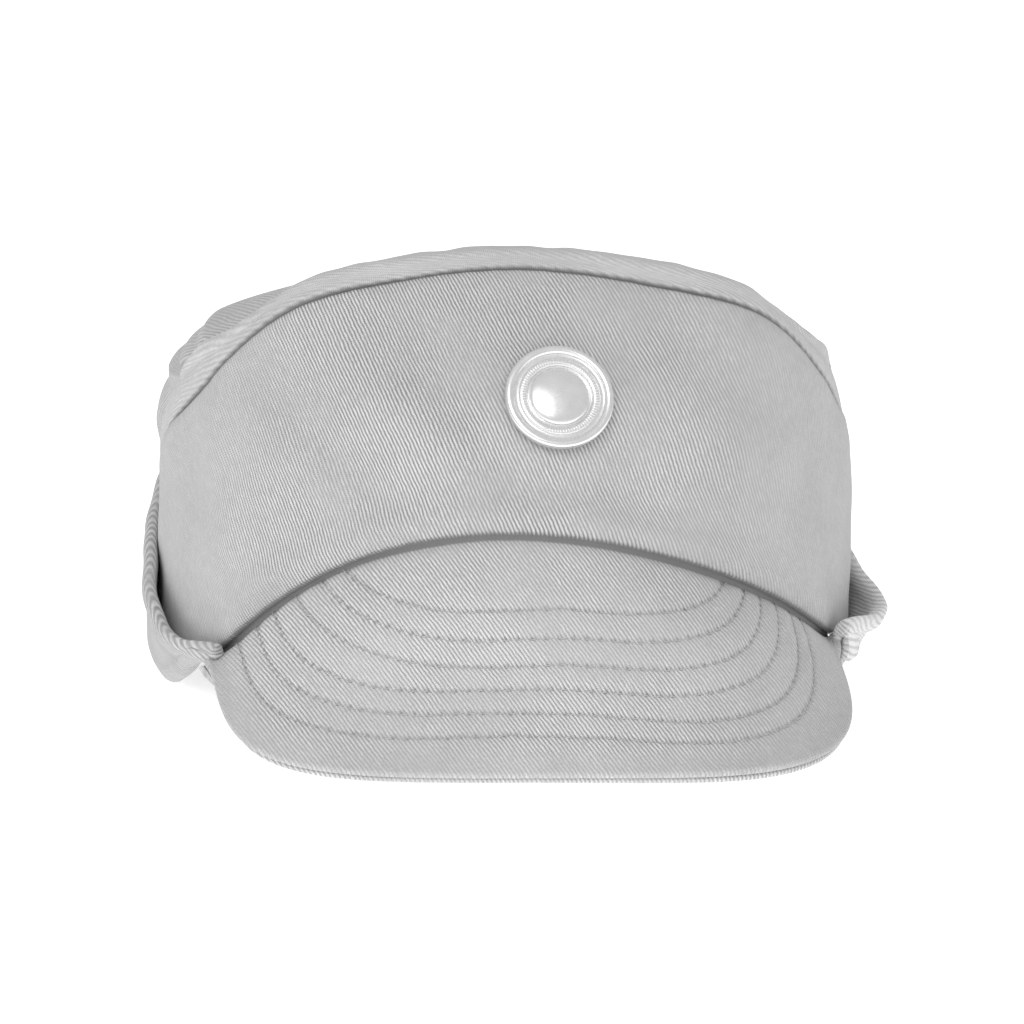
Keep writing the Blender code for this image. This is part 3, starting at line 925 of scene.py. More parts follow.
@dataclass
class BodyCloth:
    """The cap's body: front panel, edge band, top panel and side panels."""

    form: HeadForm
    band_cloth: float = 0.0022
    spacing: float = 0.95 * MM
    tuck: float = 2.5 * MM
    under_lap: float = 2.0 * MM
    swell_lengths: tuple[float, float] = (0.052, 0.021)
    swell_share: float = 0.35
    shoulder_azimuth: float = 66.0
    shoulder_spread: float = 20.0
    shoulder_sink: float = 0.9 * MM
    front_size: tuple[float, float] = (0.270, 0.072)
    front_swell: float = 0.00055
    front_pucker: float = 0.00012
    front_seam_dip: float = 0.00030
    hem_roll: float = 1.5 * MM
    hem_reach: float = 5.0 * MM
    hem_end: float = 62.0
    hem_fade: float = 12.0
    side_edge: float = 74.0
    side_edge_fade: float = 6.0
    edge_calm: float = 0.008
    rib_fade_left: tuple[float, float] = (66.0, 26.0)
    rib_fade_right: tuple[float, float] = (44.0, 34.0)
    badge_flat: float = 0.013
    badge_fade: float = 0.010
    band_leg: float = 0.046
    band_spacing: float = 0.5 * MM
    band_columns: int = 360
    band_sink: float = 0.55 * MM
    band_ridge: float = 0.00035
    band_pucker: float = 0.00018
    band_swell: float = 0.00025
    crown_tuck: float = 8.0 * MM
    crown_length: float = 0.085
    crown_spacing: float = 1.3 * MM
    crown_front_columns: int = 190
    crown_rear_columns: int = 110
    crown_turn: float = 14.0
    crown_swell: float = 0.0006
    crown_front_drop: float = 0.0014
    crown_right_drop: float = 0.0036
    crown_edge_drop: float = 0.0018
    crown_calm: float = 0.035
    side_size: tuple[float, float] = (0.135, 0.064)
    side_spacing: float = 1.1 * 0.95 * MM
    side_rounds: int = 12
    side_swell: float = 0.0007
    side_lift: float = 0.1 * MM
    dents: tuple[Dent, ...] = (
        Dent(-31, 0.22, 0.017, 0.0065, -38, 0.0021), Dent(-24, 0.31, 0.020, 0.008, -38, -0.0014),
        Dent(-12, 0.27, 0.013, 0.007, -48, 0.0018), Dent(17, 0.15, 0.016, 0.007, -12, 0.0017),
        Dent(-60, 0.36, 0.007, 0.024, 0, -0.0012), Dent(-69, 0.33, 0.007, 0.022, 0, 0.0009),
        Dent(36, 0.34, 0.012, 0.012, 30, -0.0013), Dent(48, 0.24, 0.016, 0.010, 40, 0.0013),
        Dent(-50, 0.12, 0.016, 0.009, -25, -0.0013), Dent(13, 0.40, 0.014, 0.007, 60, 0.0009),
        Dent(86, 0.26, 0.030, 0.030, 0, -0.0020), Dent(80, 0.45, 0.020, 0.020, 0, -0.0006))
    crown_dents: tuple[Dent, ...] = (
        Dent(-74, 0.78, 0.011, 0.010, 30, 0.0022), Dent(-53, 0.76, 0.013, 0.010, 0, -0.0034),
        Dent(84, 0.72, 0.014, 0.012, 0, 0.0026))
    side_dents: tuple[Dent, ...] = (
        Dent(-92, 0.56, 0.020, 0.012, 0, -0.0016), Dent(84, 0.66, 0.014, 0.010, 0, 0.0020))

    def swell(self, grid: ClothGrid, amount: float, seed: int) -> None:
        """Gives a piece the unevenness of soft cloth.

        Args:
            grid: the piece.
            amount: of the longer swell, in metres.
            seed: fixes the pattern.
        """
        long, short = self.swell_lengths
        grid.drape += amount * undulation(grid.inner, long, seed)
        grid.drape += amount * self.swell_share * undulation(grid.inner, short, seed + 1)

    def shoulder(self, azimuth: Array) -> Array:
        """How far the band sinks at its right shoulder."""
        return self.shoulder_sink * hump(azimuth - self.shoulder_azimuth, self.shoulder_spread)

    def front_panel(self, material: bpy.types.Material) -> bpy.types.Object:
        """The high front wall, its hem rolled over the peak's root.

        Args:
            material: its finish.

        Returns:
            The new piece.
        """
        form = self.form
        length, height = self.front_size
        u, v = stations(length, self.spacing)[None, :], stations(height, self.spacing)[:, None]
        top_azimuth, top_run = form.seam_line(mix(-90, 90, u))
        azimuth = mix(mix(-form.seam_azimuth, form.seam_azimuth, u), top_azimuth, v)
        run = top_run * v
        azimuth = form.drawn_back(azimuth, run)
        grid = ClothGrid(form.wall(azimuth, run), form.cut_cloth(azimuth, run), form.cloth)
        seam = grid.edge_distance
        hem, over, badge = (np.linalg.norm(grid.inner - place, axis=-1) for place in
                            (grid.inner[:1], grid.inner[-1:], form.wall(*form.badge_place)))
        front = ease((self.hem_end - np.abs(azimuth)) / self.hem_fade)
        side_edge = ease((np.abs(azimuth) - self.side_edge) / self.side_edge_fade)
        (left, left_fade), (right, right_fade) = self.rib_fade_left, self.rib_fade_right

        self.swell(grid, self.front_swell, 11)
        for dent in self.dents:
            grid.drape += dent.at(grid.inner, form)
        grid.drape *= (ease((badge - self.badge_flat) / self.badge_fade)
                       * np.maximum(ease(seam / self.edge_calm), side_edge))
        grid.relief += self.hem_roll * hump(hem - self.hem_reach, self.hem_reach) * front
        grid.relief += self.front_pucker * undulation(grid.inner, 0.006, 5) * hump(seam, 0.006)
        grid.relief -= self.front_seam_dip * hump(seam, 0.0022)
        # The twill's ribs show less towards each side.
        grid.nap = mix(0.25, 1.0, (ease((azimuth + left) / left_fade)
                                   * ease((right - azimuth) / right_fade)))
        # Painted shade: a faint darkening along every edge, a dark line under the band at the top edge and
        # another along the hem over the peak.
        grid.painted_light_and_shade = (-0.10 * hump(seam, 0.0014) - 0.55 * hump(over, 0.00055)
                      - 0.50 * hump(hem, 0.00045) * front)
        return grid.make("front_panel_cloth", material)

    def edge_band(self, material: bpy.types.Material) -> bpy.types.Object:
        """The raised band round the front panel's edge.

        Args:
            material: its finish.

        Returns:
            The new piece.
        """
        form = self.form
        share = mix(-self.tuck / form.band_width, 1.0,
                    stations(form.band_width + self.tuck, self.band_spacing))[:, None]
        azimuth, run = form.band_place(np.linspace(-90, 90, self.band_columns)[None, :], share)
        leg = stations(self.band_leg, self.spacing, True, False)[:-1]
        left, right = run[:, :1] * leg, (run[:, -1:] * leg)[:, ::-1]
        azimuth = np.concatenate([0 * left + azimuth[:, :1], azimuth, 0 * right + azimuth[:, -1:]], 1)
        run = np.concatenate([left, run, right], 1)
        inner = form.wall(form.drawn_back(azimuth, run), run)
        along = totals(np.linalg.norm(np.diff(inner.mean(0), axis=0), axis=-1))
        width, along = np.broadcast_arrays(form.band_width * share, along[None, :])
        grid = ClothGrid(inner, np.stack([along, width], -1), self.band_cloth)

        grid.relief += self.band_ridge * ease(width / 0.004)
        grid.relief += self.band_pucker * undulation(inner, 0.011, 31) * ease(width / 0.002)
        grid.drape += self.band_swell * undulation(inner, 0.055, 32) - self.band_sink
        grid.drape -= self.shoulder(azimuth) * ease(width / 0.010)
        grid.drape -= self.under_lap * ease((0.5 * MM - width) / (0.8 * MM))
        # Painted shade: a dark line where the band dips under the front panel's edge.
        grid.painted_light_and_shade -= 0.80 * ease((0.32 * MM - width) / (0.25 * MM))
        grid.nap[:] = 0.28
        return grid.make("edge_band_cloth", material)

    def top_panel(self, material: bpy.types.Material) -> bpy.types.Object:
        """The crown, gathered softly from its seams to the top.

        Args:
            material: its finish.

        Returns:
            The new piece.
        """
        form = self.form
        share = 1 - self.crown_tuck / form.band_width
        left, right = (form.seam_angle(share, side) for side in (-1, 1))
        angles = np.linspace(left, right, self.crown_front_columns)
        front_azimuth, front_run = form.band_place(angles, share)
        rear = np.linspace(0, 1, self.crown_rear_columns)[:-1]
        sides = [mix(-180, front_azimuth[0], rear), mix(180, front_azimuth[-1], rear)[::-1]]
        azimuth = np.concatenate([sides[0], front_azimuth, sides[1]])[None, :]
        start = np.concatenate([form.top_seam_run(sides[0]), front_run,
                                form.top_seam_run(sides[1])])[None, :]
        v = stations(self.crown_length, self.crown_spacing, True, False)[:, None]
        turned = azimuth - self.crown_turn * np.sin(np.radians(azimuth)) * v
        inner = form.wall(turned, mix(start, 1.0, v))
        inner[-1] = inner[-1].mean(0)
        inner[:, -1] = inner[:, 0]
        grid = ClothGrid(inner, inner[..., :2].copy(), form.cloth, closed=True)
        seam = grid.edge_distance
        around = azimuth + 0 * v
        front = ease((80 - np.abs(around)) / 30)
        right_side = ease((around - 25) / 20) * ease((130 - around) / 30)
        tucked = 1 - ease((seam - 0.0062) / 0.0036)

        grid.drape += 0.0001 - 0.0002 * front
        grid.drape += self.crown_swell * undulation(inner, 0.060, 41) * ease((seam - 0.006) / 0.012)
        grid.drape -= ((self.crown_front_drop * front + self.crown_right_drop * right_side)
                       * ease((seam - 0.003) / 0.008))
        grid.drape -= tucked * (self.crown_edge_drop + self.shoulder(around))
        for dent in self.crown_dents:
            grid.drape += dent.at(inner, form) * (1 - tucked)
        grid.drape *= ease(np.linalg.norm(inner - inner[-1:], axis=-1) / self.crown_calm)
        grid.nap[:] = 0.9
        return grid.make("top_panel_cloth", material)

    def side_panel(self, side: int, name: str, material: bpy.types.Material) -> bpy.types.Object:
        """A lower side wall, from the band to the seam at the rear.

        Args:
            side: -1 or 1, the sign of its azimuths.
            name: the piece's name.
            material: its finish.

        Returns:
            The new piece.
        """
        form = self.form
        step = 0.002
        slope = np.linalg.norm(form.wall(90.0, form.top_seam) - form.wall(90.0, form.top_seam - step))
        past_seam = form.top_seam + self.tuck / slope * step
        length, height = self.side_size
        share = stations(height, self.side_spacing)[:, None]
        rises = past_seam * share
        for _ in range(self.side_rounds):
            front = form.seam_side(rises, 1 - self.tuck / form.band_width, side)
            rises = share * (form.top_seam_run(front) + past_seam - form.top_seam)
        past = self.tuck if side > 0 else -form.seam_gap / 2
        rear = side * (180 + math.degrees(past / form.rear))
        u = stations(length, self.side_spacing)[None, :]
        azimuth = mix(front, rear, u) if side > 0 else mix(rear, front, u)
        run = share * (form.top_seam_run(azimuth) + past_seam - form.top_seam)
        azimuth = form.drawn_back(azimuth, run)
        grid = ClothGrid(form.wall(azimuth, run), form.cut_cloth(azimuth, run), form.cloth)
        seam = grid.edge_distance
        above = (run - form.top_seam_run(azimuth)) * slope / step
        beyond = (side * azimuth - 180) * math.radians(form.rear)
        under = np.maximum(*(ease((distance + 1.2 * MM) / (1.4 * MM)) for distance in (above, beyond)))

        self.swell(grid, self.side_swell, 51 if side > 0 else 55)
        grid.drape *= ease((seam - 0.003) / 0.010)
        grid.drape -= self.under_lap * under - self.side_lift
        for dent in self.side_dents:
            grid.drape += dent.at(grid.inner, form) * ease(seam / 0.003)
        grid.nap[:] = 0.55
        return grid.make(name, material)


@dataclass
class Flap:
    """The flap, folded out and up from the hem, with a thick rolled rim."""

    form: HeadForm
    height: float = 0.052
    stand_off: float = 0.0057
    out_lean: float = 0.25
    up_lean: float = -0.12
    fold_radius: float = 0.0030
    fold_drop: float = 0.0030
    drop_start: float = 60.0
    drop_end: float = 84.0
    drop_fade: float = 10.0
    fold_spread: tuple[float, ...] = (0.5, 0.3, 0.1, 0.1, 0.3, 0.6, 1.0)
    end_azimuth: float = 53.1
    azimuths: tuple[float, ...] = (53.1, 66, 78, 90, 105, 130, 180)
    stand_offs_left: tuple[float, ...] = (.40, .75, 1.00, .48, .05, .20, .40)
    stand_offs_right: tuple[float, ...] = (.60, 1.00, .82, .45, .40, .40, .40)
    heights_left: tuple[float, ...] = (.33, .29, .40, .52, .60, .85, 1.0)
    heights_right: tuple[float, ...] = (.44, .38, .38, .43, .55, .85, 1.0)
    size: tuple[float, float] = (0.480, 0.046)
    spacing: float = 1.25 * MM
    rise_spacing: float = 0.85 * MM
    rim_roll: float = 0.8 * MM
    rim_width: float = 2.6 * MM
    rim_crease: float = 0.00035
    long_swell: float = 0.0007
    short_swell: float = 0.0003

    def path(self, azimuth: Array) -> tuple[Array, Array]:
        """The flap's inner face, as distances out from the head oval and heights.

        Args:
            azimuth: one value for each column.

        Returns:
            Distances and heights, rows by columns.
        """
        form = self.form
        side = np.sin(np.radians(azimuth))
        around = np.abs(azimuth)
        drop = (self.fold_drop * ease((self.drop_end - around) / self.drop_fade)
                * ease((around - self.drop_start) / self.drop_fade))
        seat = form.fold_height(azimuth) + form.flap_cloth
        floor = np.maximum(seat - drop, form.flap_cloth)
        reach = self.stand_off * (1 + self.out_lean * side)

        def sided(*columns: tuple[float, ...]) -> Array:
            """Shares read from the table of the left and that of the right."""
            return np.where(azimuth < 0, *(smooth_through(self.azimuths, column, around, 0.0, 0.0)
                                           for column in columns))

        rim = form.cloth + form.seam_gap + reach * sided(self.stand_offs_left, self.stand_offs_right)
        spread = self.fold_radius * smooth_through(self.azimuths, self.fold_spread, around, 0.0, 0.0)
        leg = np.minimum(form.cloth + form.seam_gap + spread, rim)
        radius = np.minimum(self.fold_radius, leg * 0.5)
        height = self.height * (1 + self.up_lean * side) * sided(self.heights_left, self.heights_right)
        rise = np.maximum(height - floor - radius, radius)
        flat = stations(0.006, 0.8 * MM, True, False)[:, None]
        turn = np.radians(np.linspace(0, 90, 9)[1:-1])[:, None]
        up = stations(self.size[1], self.rise_spacing, False, True)[:, None]
        out = np.concatenate([flat * (leg - radius), leg - radius + radius * np.sin(turn),
                              mix(leg, rim, ease(up))])
        high = np.concatenate([mix(seat, floor, ease(flat)), floor + radius - radius * np.cos(turn),
                               floor + radius + rise * up])
        return out, high

    def make(self, material: bpy.types.Material) -> bpy.types.Object:
        """Builds the flap, round the back from the peak's corner at +X, so that it faces out.

        Args:
            material: its finish.

        Returns:
            The new piece.
        """
        form, end = self.form, self.end_azimuth
        u = stations(self.size[0], self.spacing)
        azimuth = (mix(end, 360 - end, u) + 180.0) % 360.0 - 180.0
        out, high = self.path(azimuth)
        radius = form.oval(azimuth) + out
        turn = np.radians(azimuth)
        inner = np.stack([radius * np.sin(turn), -radius * np.cos(turn), high], -1)
        inner = inner + np.array(form.origin)
        around = totals(np.linalg.norm(np.diff(inner, axis=1), axis=-1).mean(0))
        around = np.where(azimuth < 0, around - around[-1], around)
        up = totals(np.linalg.norm(np.diff(inner, axis=0), axis=-1))
        grid = ClothGrid(inner, np.stack([around + 0 * up, up - up[-1:]], -1), form.flap_cloth)
        rim = np.linalg.norm(inner - inner[-1:], axis=-1)
        roll = self.rim_roll * hump(rim - self.rim_width, self.rim_width)
        wall = ease((high - form.fold_height(azimuth) - 0.008) / 0.006)

        grid.relief += roll
        grid.backing += roll
        grid.relief -= self.rim_crease * hump(rim - 2.6 * self.rim_width, 0.0012)
        grid.drape += self.long_swell * undulation(inner, 0.045, 61) * wall
        grid.drape += self.short_swell * undulation(inner, 0.018, 62) * wall
        grid.nap[:] = 0.75
        # Painted light: the flap's right side, turned away from the lamp, is lightened.
        grid.painted_light_and_shade[:] = 0.30 * ease((azimuth - 45) / 10) * ease((110 - azimuth) / 20)
        return grid.make("flap_cloth", material)


@dataclass(frozen=True)
class StitchRow:
    """One row of stitches on the peak, an arch in plan with its own reach to each side."""

    reach: float
    left: float
    right: float
    squareness_left: float
    squareness_right: float
    lean: float


@dataclass
class Peak:
    """The row-stitched peak, two cloth-covered layers whose edges show as two lips."""

    form: HeadForm
    root_azimuth: float = 58.2
    half_width_left: float = 0.0806
    half_width_right: float = 0.0768
    corner_y: float = -0.057
    reach: float = 0.0423
    forward_right: float = 0.0085
    squareness_left: float = 3.9
    squareness_right: float = 3.3
    tuck: float = 0.0045
    root_rise: float = 0.0020
    grain_tilt: float = 13.0
    edge_height: float = 0.0048
    corner_height: float = 0.0155
    edge_sweep: float = 1.5
    dish: float = 0.0015
    span: float = 0.992
    top_cloth: float = 0.0020
    under_cloth: float = 0.0016
    layer_gap: float = 0.0004
    size: tuple[float, float] = (0.230, 0.060)
    top_spacing: float = 0.72 * MM
    under_spacing: float = 1.2 * MM
    groove: float = 0.28 * MM
    groove_width: float = 0.65 * MM
    pillow: float = 0.20 * MM
    pillow_width: float = 2.0 * MM
    pit: float = 0.26 * MM
    pit_width: float = 0.75 * MM
    pucker: float = 0.00008
    swell: float = 0.00028
    root_sink: float = 0.5 * MM
    stitch_pitch: float = 3.3 * MM
    stitch_length: float = 2.5 * MM
    stitch_lift: float = 0.12 * MM
    row_shift: float = 0.37
    thread: float = 0.40 * MM
    rows: tuple[StitchRow, ...] = (
        StitchRow(reach=0.1097, left=0.0522, right=0.0482, squareness_left=2.7,
                  squareness_right=2.85, lean=0.005),
        StitchRow(reach=0.1147, left=0.0558, right=0.0521, squareness_left=2.8,
                  squareness_right=2.9, lean=0.024),
        StitchRow(reach=0.1195, left=0.0606, right=0.0555, squareness_left=2.9,
                  squareness_right=3.1, lean=0.042),
        StitchRow(reach=0.1239, left=0.0652, right=0.0596, squareness_left=3.4,
                  squareness_right=3.1, lean=0.077),
        StitchRow(reach=0.1284, left=0.0691, right=0.0638, squareness_left=3.65,
                  squareness_right=3.3, lean=0.097),
        StitchRow(reach=0.1327, left=0.0734, right=0.0671, squareness_left=3.85,
                  squareness_right=3.45, lean=0.100))

    def surface(self, s: Array, k: Array) -> Array:
        """The peak's top face.

        Args:
            s: from -1 to 1 across it.
            k: from 0 at the root to 1 at the edge.

        Returns:
            The points, with a last axis of three.
        """
        form = self.form
        s, k = np.broadcast_arrays(s, k)
        root = form.wall(s * self.root_azimuth, 0.0) - np.array((0, 0, form.seam_gap))
        squareness = mix(self.squareness_left, self.squareness_right, ease(s + 0.5))
        across, forward = rounded_corner(90 * s, squareness)
        half = mix(self.half_width_left, self.half_width_right, ease(s + 0.5))
        ahead = self.forward_right * across * forward
        edge = np.stack([half * across,
                         mix(self.corner_y, -form.front - self.reach, forward) - ahead,
                         mix(self.corner_height, self.edge_height, 1 - (1 - forward) ** self.edge_sweep)], -1)
        edge = edge + np.array(form.origin)
        dish = 4 * self.dish * np.maximum(k * (1 - k), 0.0) * forward
        points = mix(root, edge, k[..., None])
        points[..., 2] -= dish
        return points

    def layer(self, depth: float, cloth: float, spacing: float) -> ClothGrid:
        """One layer of the peak.

        Args:
            depth: of its upper face, below the peak's top face.
            cloth: its thickness.
            spacing: of the grid.

        Returns:
            Its grid, from the edge to the root.
        """
        width, depth_in = self.size
        u, v = stations(width, spacing)[None, :], stations(depth_in, spacing)[:, None]
        s = mix(-self.span, self.span, u)
        length = np.linalg.norm(self.surface(s, 1.0 + 0 * s) - self.surface(s, 0 * s), axis=-1)
        k = mix(1.0, -self.tuck / length, v)
        step = 0.004
        along = (self.surface(np.minimum(s + step, 1), k) - self.surface(np.maximum(s - step, -1), k))
        inward = (self.surface(s, k - step) - self.surface(s, np.minimum(k + step, 1)))
        up = unit(np.cross(along, inward))
        top = self.surface(s, k) - depth * up
        tilt = math.radians(self.grain_tilt)
        places = np.stack([top[..., 0], top[..., 1] * math.sin(tilt) + top[..., 2] * math.cos(tilt)], -1)
        grid = ClothGrid(top - cloth * up, places, cloth)
        grid.normals = up
        return grid

    def row_line(self, row: StitchRow, surface: Array) -> Array:
        """Where a row of stitches crosses each column of a grid on the peak.

        Args:
            row: the row's sizes.
            surface: grid of points, from the edge to the root.

        Returns:
            The row's points, from -X to +X.
        """
        flat = surface - np.array(self.form.origin)
        x, y = flat[..., 0], flat[..., 1]
        left = x < 0
        half = np.where(left, row.left, row.right)
        power = np.where(left, row.squareness_left, row.squareness_right)
        forward = np.maximum((self.corner_y - y) / (row.reach + self.corner_y), 0.0)
        forward = forward / (1 + row.lean * x / half)
        place = (np.abs(x) / half) ** power + forward**power - 1
        hidden = self.tuck + 0.0012
        line = []
        for column in range(surface.shape[1]):
            values = place[:, column]
            inside = np.nonzero((values[:-1] >= 0) & (values[1:] < 0))[0]
            if len(inside) and np.linalg.norm(surface[inside[0], column] - surface[-1, column]) > hidden:
                i = inside[0]
                share = values[i] / (values[i] - values[i + 1])
                line.append(mix(surface[i, column], surface[i + 1, column], share))
        return np.array(line)

    def press_rows(self, grid: ClothGrid, top: Array, lines: list[Array]) -> None:
        """Presses a groove along each row into the top layer, with a pit at each stitch's end, and paints
        shade into both.

        Args:
            grid: the top layer.
            top: its upper face.
            lines: the rows' points.
        """
        even = [resample(line, 0.15 * MM) for line in lines]
        samples, lengths = (np.concatenate(parts) for parts in zip(*even))
        owners = np.repeat(np.arange(len(even)), [len(points) for points, _ in even])
        distance, index = nearest(top, samples)
        phase = lengths[index] / self.stitch_pitch + owners[index] * self.row_shift
        hole = np.cos(math.pi * phase) ** 8
        draw = 0.75 + 0.25 * undulation(top, 0.012, 71)
        grid.relief -= self.groove * hump(distance, self.groove_width) * draw
        grid.relief -= self.pillow * hump(distance, self.pillow_width)
        grid.relief -= self.pit * hole * hump(distance, self.pit_width)
        grid.relief += self.pucker * undulation(top, 0.0075, 72) * hump(distance, 3.5 * MM)
        # Painted shade along each row's groove, darker in each stitch's pit.
        grid.painted_light_and_shade -= 0.05 * hump(distance, 0.45 * MM) + 0.26 * hole * hump(distance, 0.50 * MM)

    def make(self, cloth: bpy.types.Material,
             thread: bpy.types.Material) -> list[tuple[bpy.types.Object, tuple[str, ...]]]:
        """Builds both layers and the stitches.

        Args:
            cloth: finish of both layers.
            thread: finish of the stitches.

        Returns:
            Each piece with the solids that it stands for.
        """
        grid = self.layer(0.0, self.top_cloth, self.top_spacing)
        top = grid.inner + grid.normals * self.top_cloth
        self.press_rows(grid, top, [self.row_line(row, top) for row in self.rows])
        edge, x = grid.edge_distance, top[..., 0] / MM
        grid.drape += self.swell * undulation(top, 0.040, 73) * ease(edge / 0.006)
        grid.nap = (mix(0.30, 1.0, ease((x + 82) / 14) * ease((62 - x) / 46))
                    * mix(0.45, 1.0, ease((edge / MM - 3) / 6)))
        # Painted shade: the peak darkens towards the right, away from the lamp, and near its borders.
        grid.painted_light_and_shade -= 0.09 * (ease((x + 10) / 90) + ease((0.035 - edge) / 0.03))
        root = np.linalg.norm(top - top[-1:], axis=-1)
        grid.relief -= self.root_sink * hump(root - self.tuck, 1.6 * MM)
        # Painted shadow: a dark line on the peak's root, just below the front panel's hem.
        grid.painted_light_and_shade -= 0.90 * hump(np.maximum(root - self.tuck - 0.1 * MM, 0), 0.45 * MM)
        grid.drape += self.root_rise * ease((self.tuck - root) / (1.5 * MM))
        outer = grid.faces_of_cloth()[0]
        path = [self.row_line(row, outer) + (0, 0, self.stitch_lift) for row in self.rows]
        under = self.layer(self.top_cloth + self.layer_gap, self.under_cloth, self.under_spacing)
        under.nap[:] = 0.8
        sewing = RowSewing(self.stitch_pitch, self.stitch_length, self.thread)
        return [(grid.make("peak_top_cloth", cloth), ("peak_top",)),
                (under.make("peak_under_cloth", cloth), ("peak_under",)),
                (sewing.make("peak_stitches", path, thread), ())]


class TreeWriter:
    """Writes one Geometry Nodes tree with named inputs."""

    def __init__(self, name: str, sizes: dict[str, float | int]) -> None:
        """Starts a tree.

        Args:
            name: the tree's name.
            sizes: default of each named input, a float or an int.
        """
        self.tree = bpy.data.node_groups.new(name, "GeometryNodeTree")
        face = self.tree.interface
        face.new_socket("Geometry", in_out="INPUT", socket_type="NodeSocketGeometry")
        for key, value in sizes.items():
            kind = "NodeSocketInt" if isinstance(value, int) else "NodeSocketFloat"
            face.new_socket(key, in_out="INPUT", socket_type=kind).default_value = value
        face.new_socket("Finish", in_out="INPUT", socket_type="NodeSocketMaterial")
        face.new_socket("Geometry", in_out="OUTPUT", socket_type="NodeSocketGeometry")
        self.entry = self.tree.nodes.new("NodeGroupInput")
        self.exit = self.tree.nodes.new("NodeGroupOutput")

    def size(self, name: str) -> bpy.types.NodeSocket:
        """A named input of the tree."""
        return self.entry.outputs[name]

    def node(self, kind: str, settings: dict, inputs: dict, output: int | str = 0) -> bpy.types.NodeSocket:
        """Adds a node and gives one of its outputs.

        Args:
            kind: the node's type.
            settings: its properties, set first.
            inputs: values or sockets by socket name or number.
            output: the output to use.

        Returns:
            The output's socket.
        """
        node = self.tree.nodes.new(kind)
        for key, value in settings.items():
            setattr(node, key, value)
        for key, value in inputs.items():
            if isinstance(value, bpy.types.NodeSocket):
                self.tree.links.new(value, node.inputs[key])
            else:
                node.inputs[key].default_value = value
        return node.outputs[output]

    def times(self, socket: bpy.types.NodeSocket, share: float) -> bpy.types.NodeSocket:
        """A size times a number."""
        return self.node("ShaderNodeMath", {"operation": "MULTIPLY"}, {0: socket, 1: share})

    def grain(self, *sizes: bpy.types.NodeSocket) -> bpy.types.NodeSocket:
        """A rounded grain of a few dozen faces.

        Args:
            sizes: its length, width and height.

        Returns:
            Its geometry.
        """
        ball = self.node("GeometryNodeMeshUVSphere", {}, {"Segments": 8, "Rings": 6, "Radius": 0.5})
        scale = self.node("ShaderNodeCombineXYZ", {}, dict(enumerate(sizes)))
        return self.node("GeometryNodeTransform", {}, {"Geometry": ball, "Scale": scale})

    def points_on(self, curve: bpy.types.NodeSocket) -> tuple[bpy.types.NodeSocket, bpy.types.NodeSocket]:
        """Points on a curve.

        Args:
            curve: the curve.

        Returns:
            The points, and the turn that lays X along the curve at each.
        """
        points = self.node("GeometryNodeCurveToPoints", {"mode": "EVALUATED"}, {"Curve": curve})
        return points, self.node("FunctionNodeAlignRotationToVector", {"axis": "X"}, {
            "Vector": points.node.outputs["Tangent"]})

    def close(self, points: bpy.types.NodeSocket, grain: bpy.types.NodeSocket,
              turn: bpy.types.NodeSocket) -> None:
        """Sets a grain on each point, realizes them, sets the finish and ends the tree.

        Args:
            points: where they stand.
            grain: the shape that is repeated.
            turn: how each is turned.
        """
        geometry = self.node("GeometryNodeInstanceOnPoints", {}, {
            "Points": points, "Instance": grain, "Rotation": turn})
        real = self.node("GeometryNodeRealizeInstances", {}, {0: geometry})
        smooth = self.node("GeometryNodeSetShadeSmooth", {}, {0: real})
        done = self.node("GeometryNodeSetMaterial", {}, {
            "Geometry": smooth, "Material": self.size("Finish")})
        self.tree.links.new(done, self.exit.inputs[0])

    def apply(self, carrier: bpy.types.Object, values: dict) -> bpy.types.Object:
        """Runs the tree on an object and keeps the result as its plain mesh.

        Args:
            carrier: the object whose mesh the tree reads.
            values: a value for each named input that differs from its default.

        Returns:
            The same object with the new mesh and no modifier.
        """
        modifier = carrier.modifiers.new(self.tree.name, "NODES")
        modifier.node_group = self.tree
        names = {item.name: item.identifier for item in self.tree.interface.items_tree
                 if item.in_out == "INPUT"}
        for key, value in values.items():
            modifier[names[key]] = value
        view = bpy.context.evaluated_depsgraph_get()
        plain = bpy.data.meshes.new_from_object(carrier.evaluated_get(view))
        carrier.modifiers.remove(modifier)
        carrier.data = plain
        return carrier


def path_object(name: str, lines: list[Array]) -> bpy.types.Object:
    """An object whose mesh is only lines of edges.

    Args:
        name: the object's name.
        lines: the points of each line.

    Returns:
        The new object.
    """
    points, edges = [], []
    for line in lines:
        start = len(points)
        points += line.tolist()
        edges += [(i, i + 1) for i in range(start, len(points) - 1)]
    mesh = bpy.data.meshes.new(name)
    mesh.from_pydata(points, edges, [])
    return linked(name, mesh)


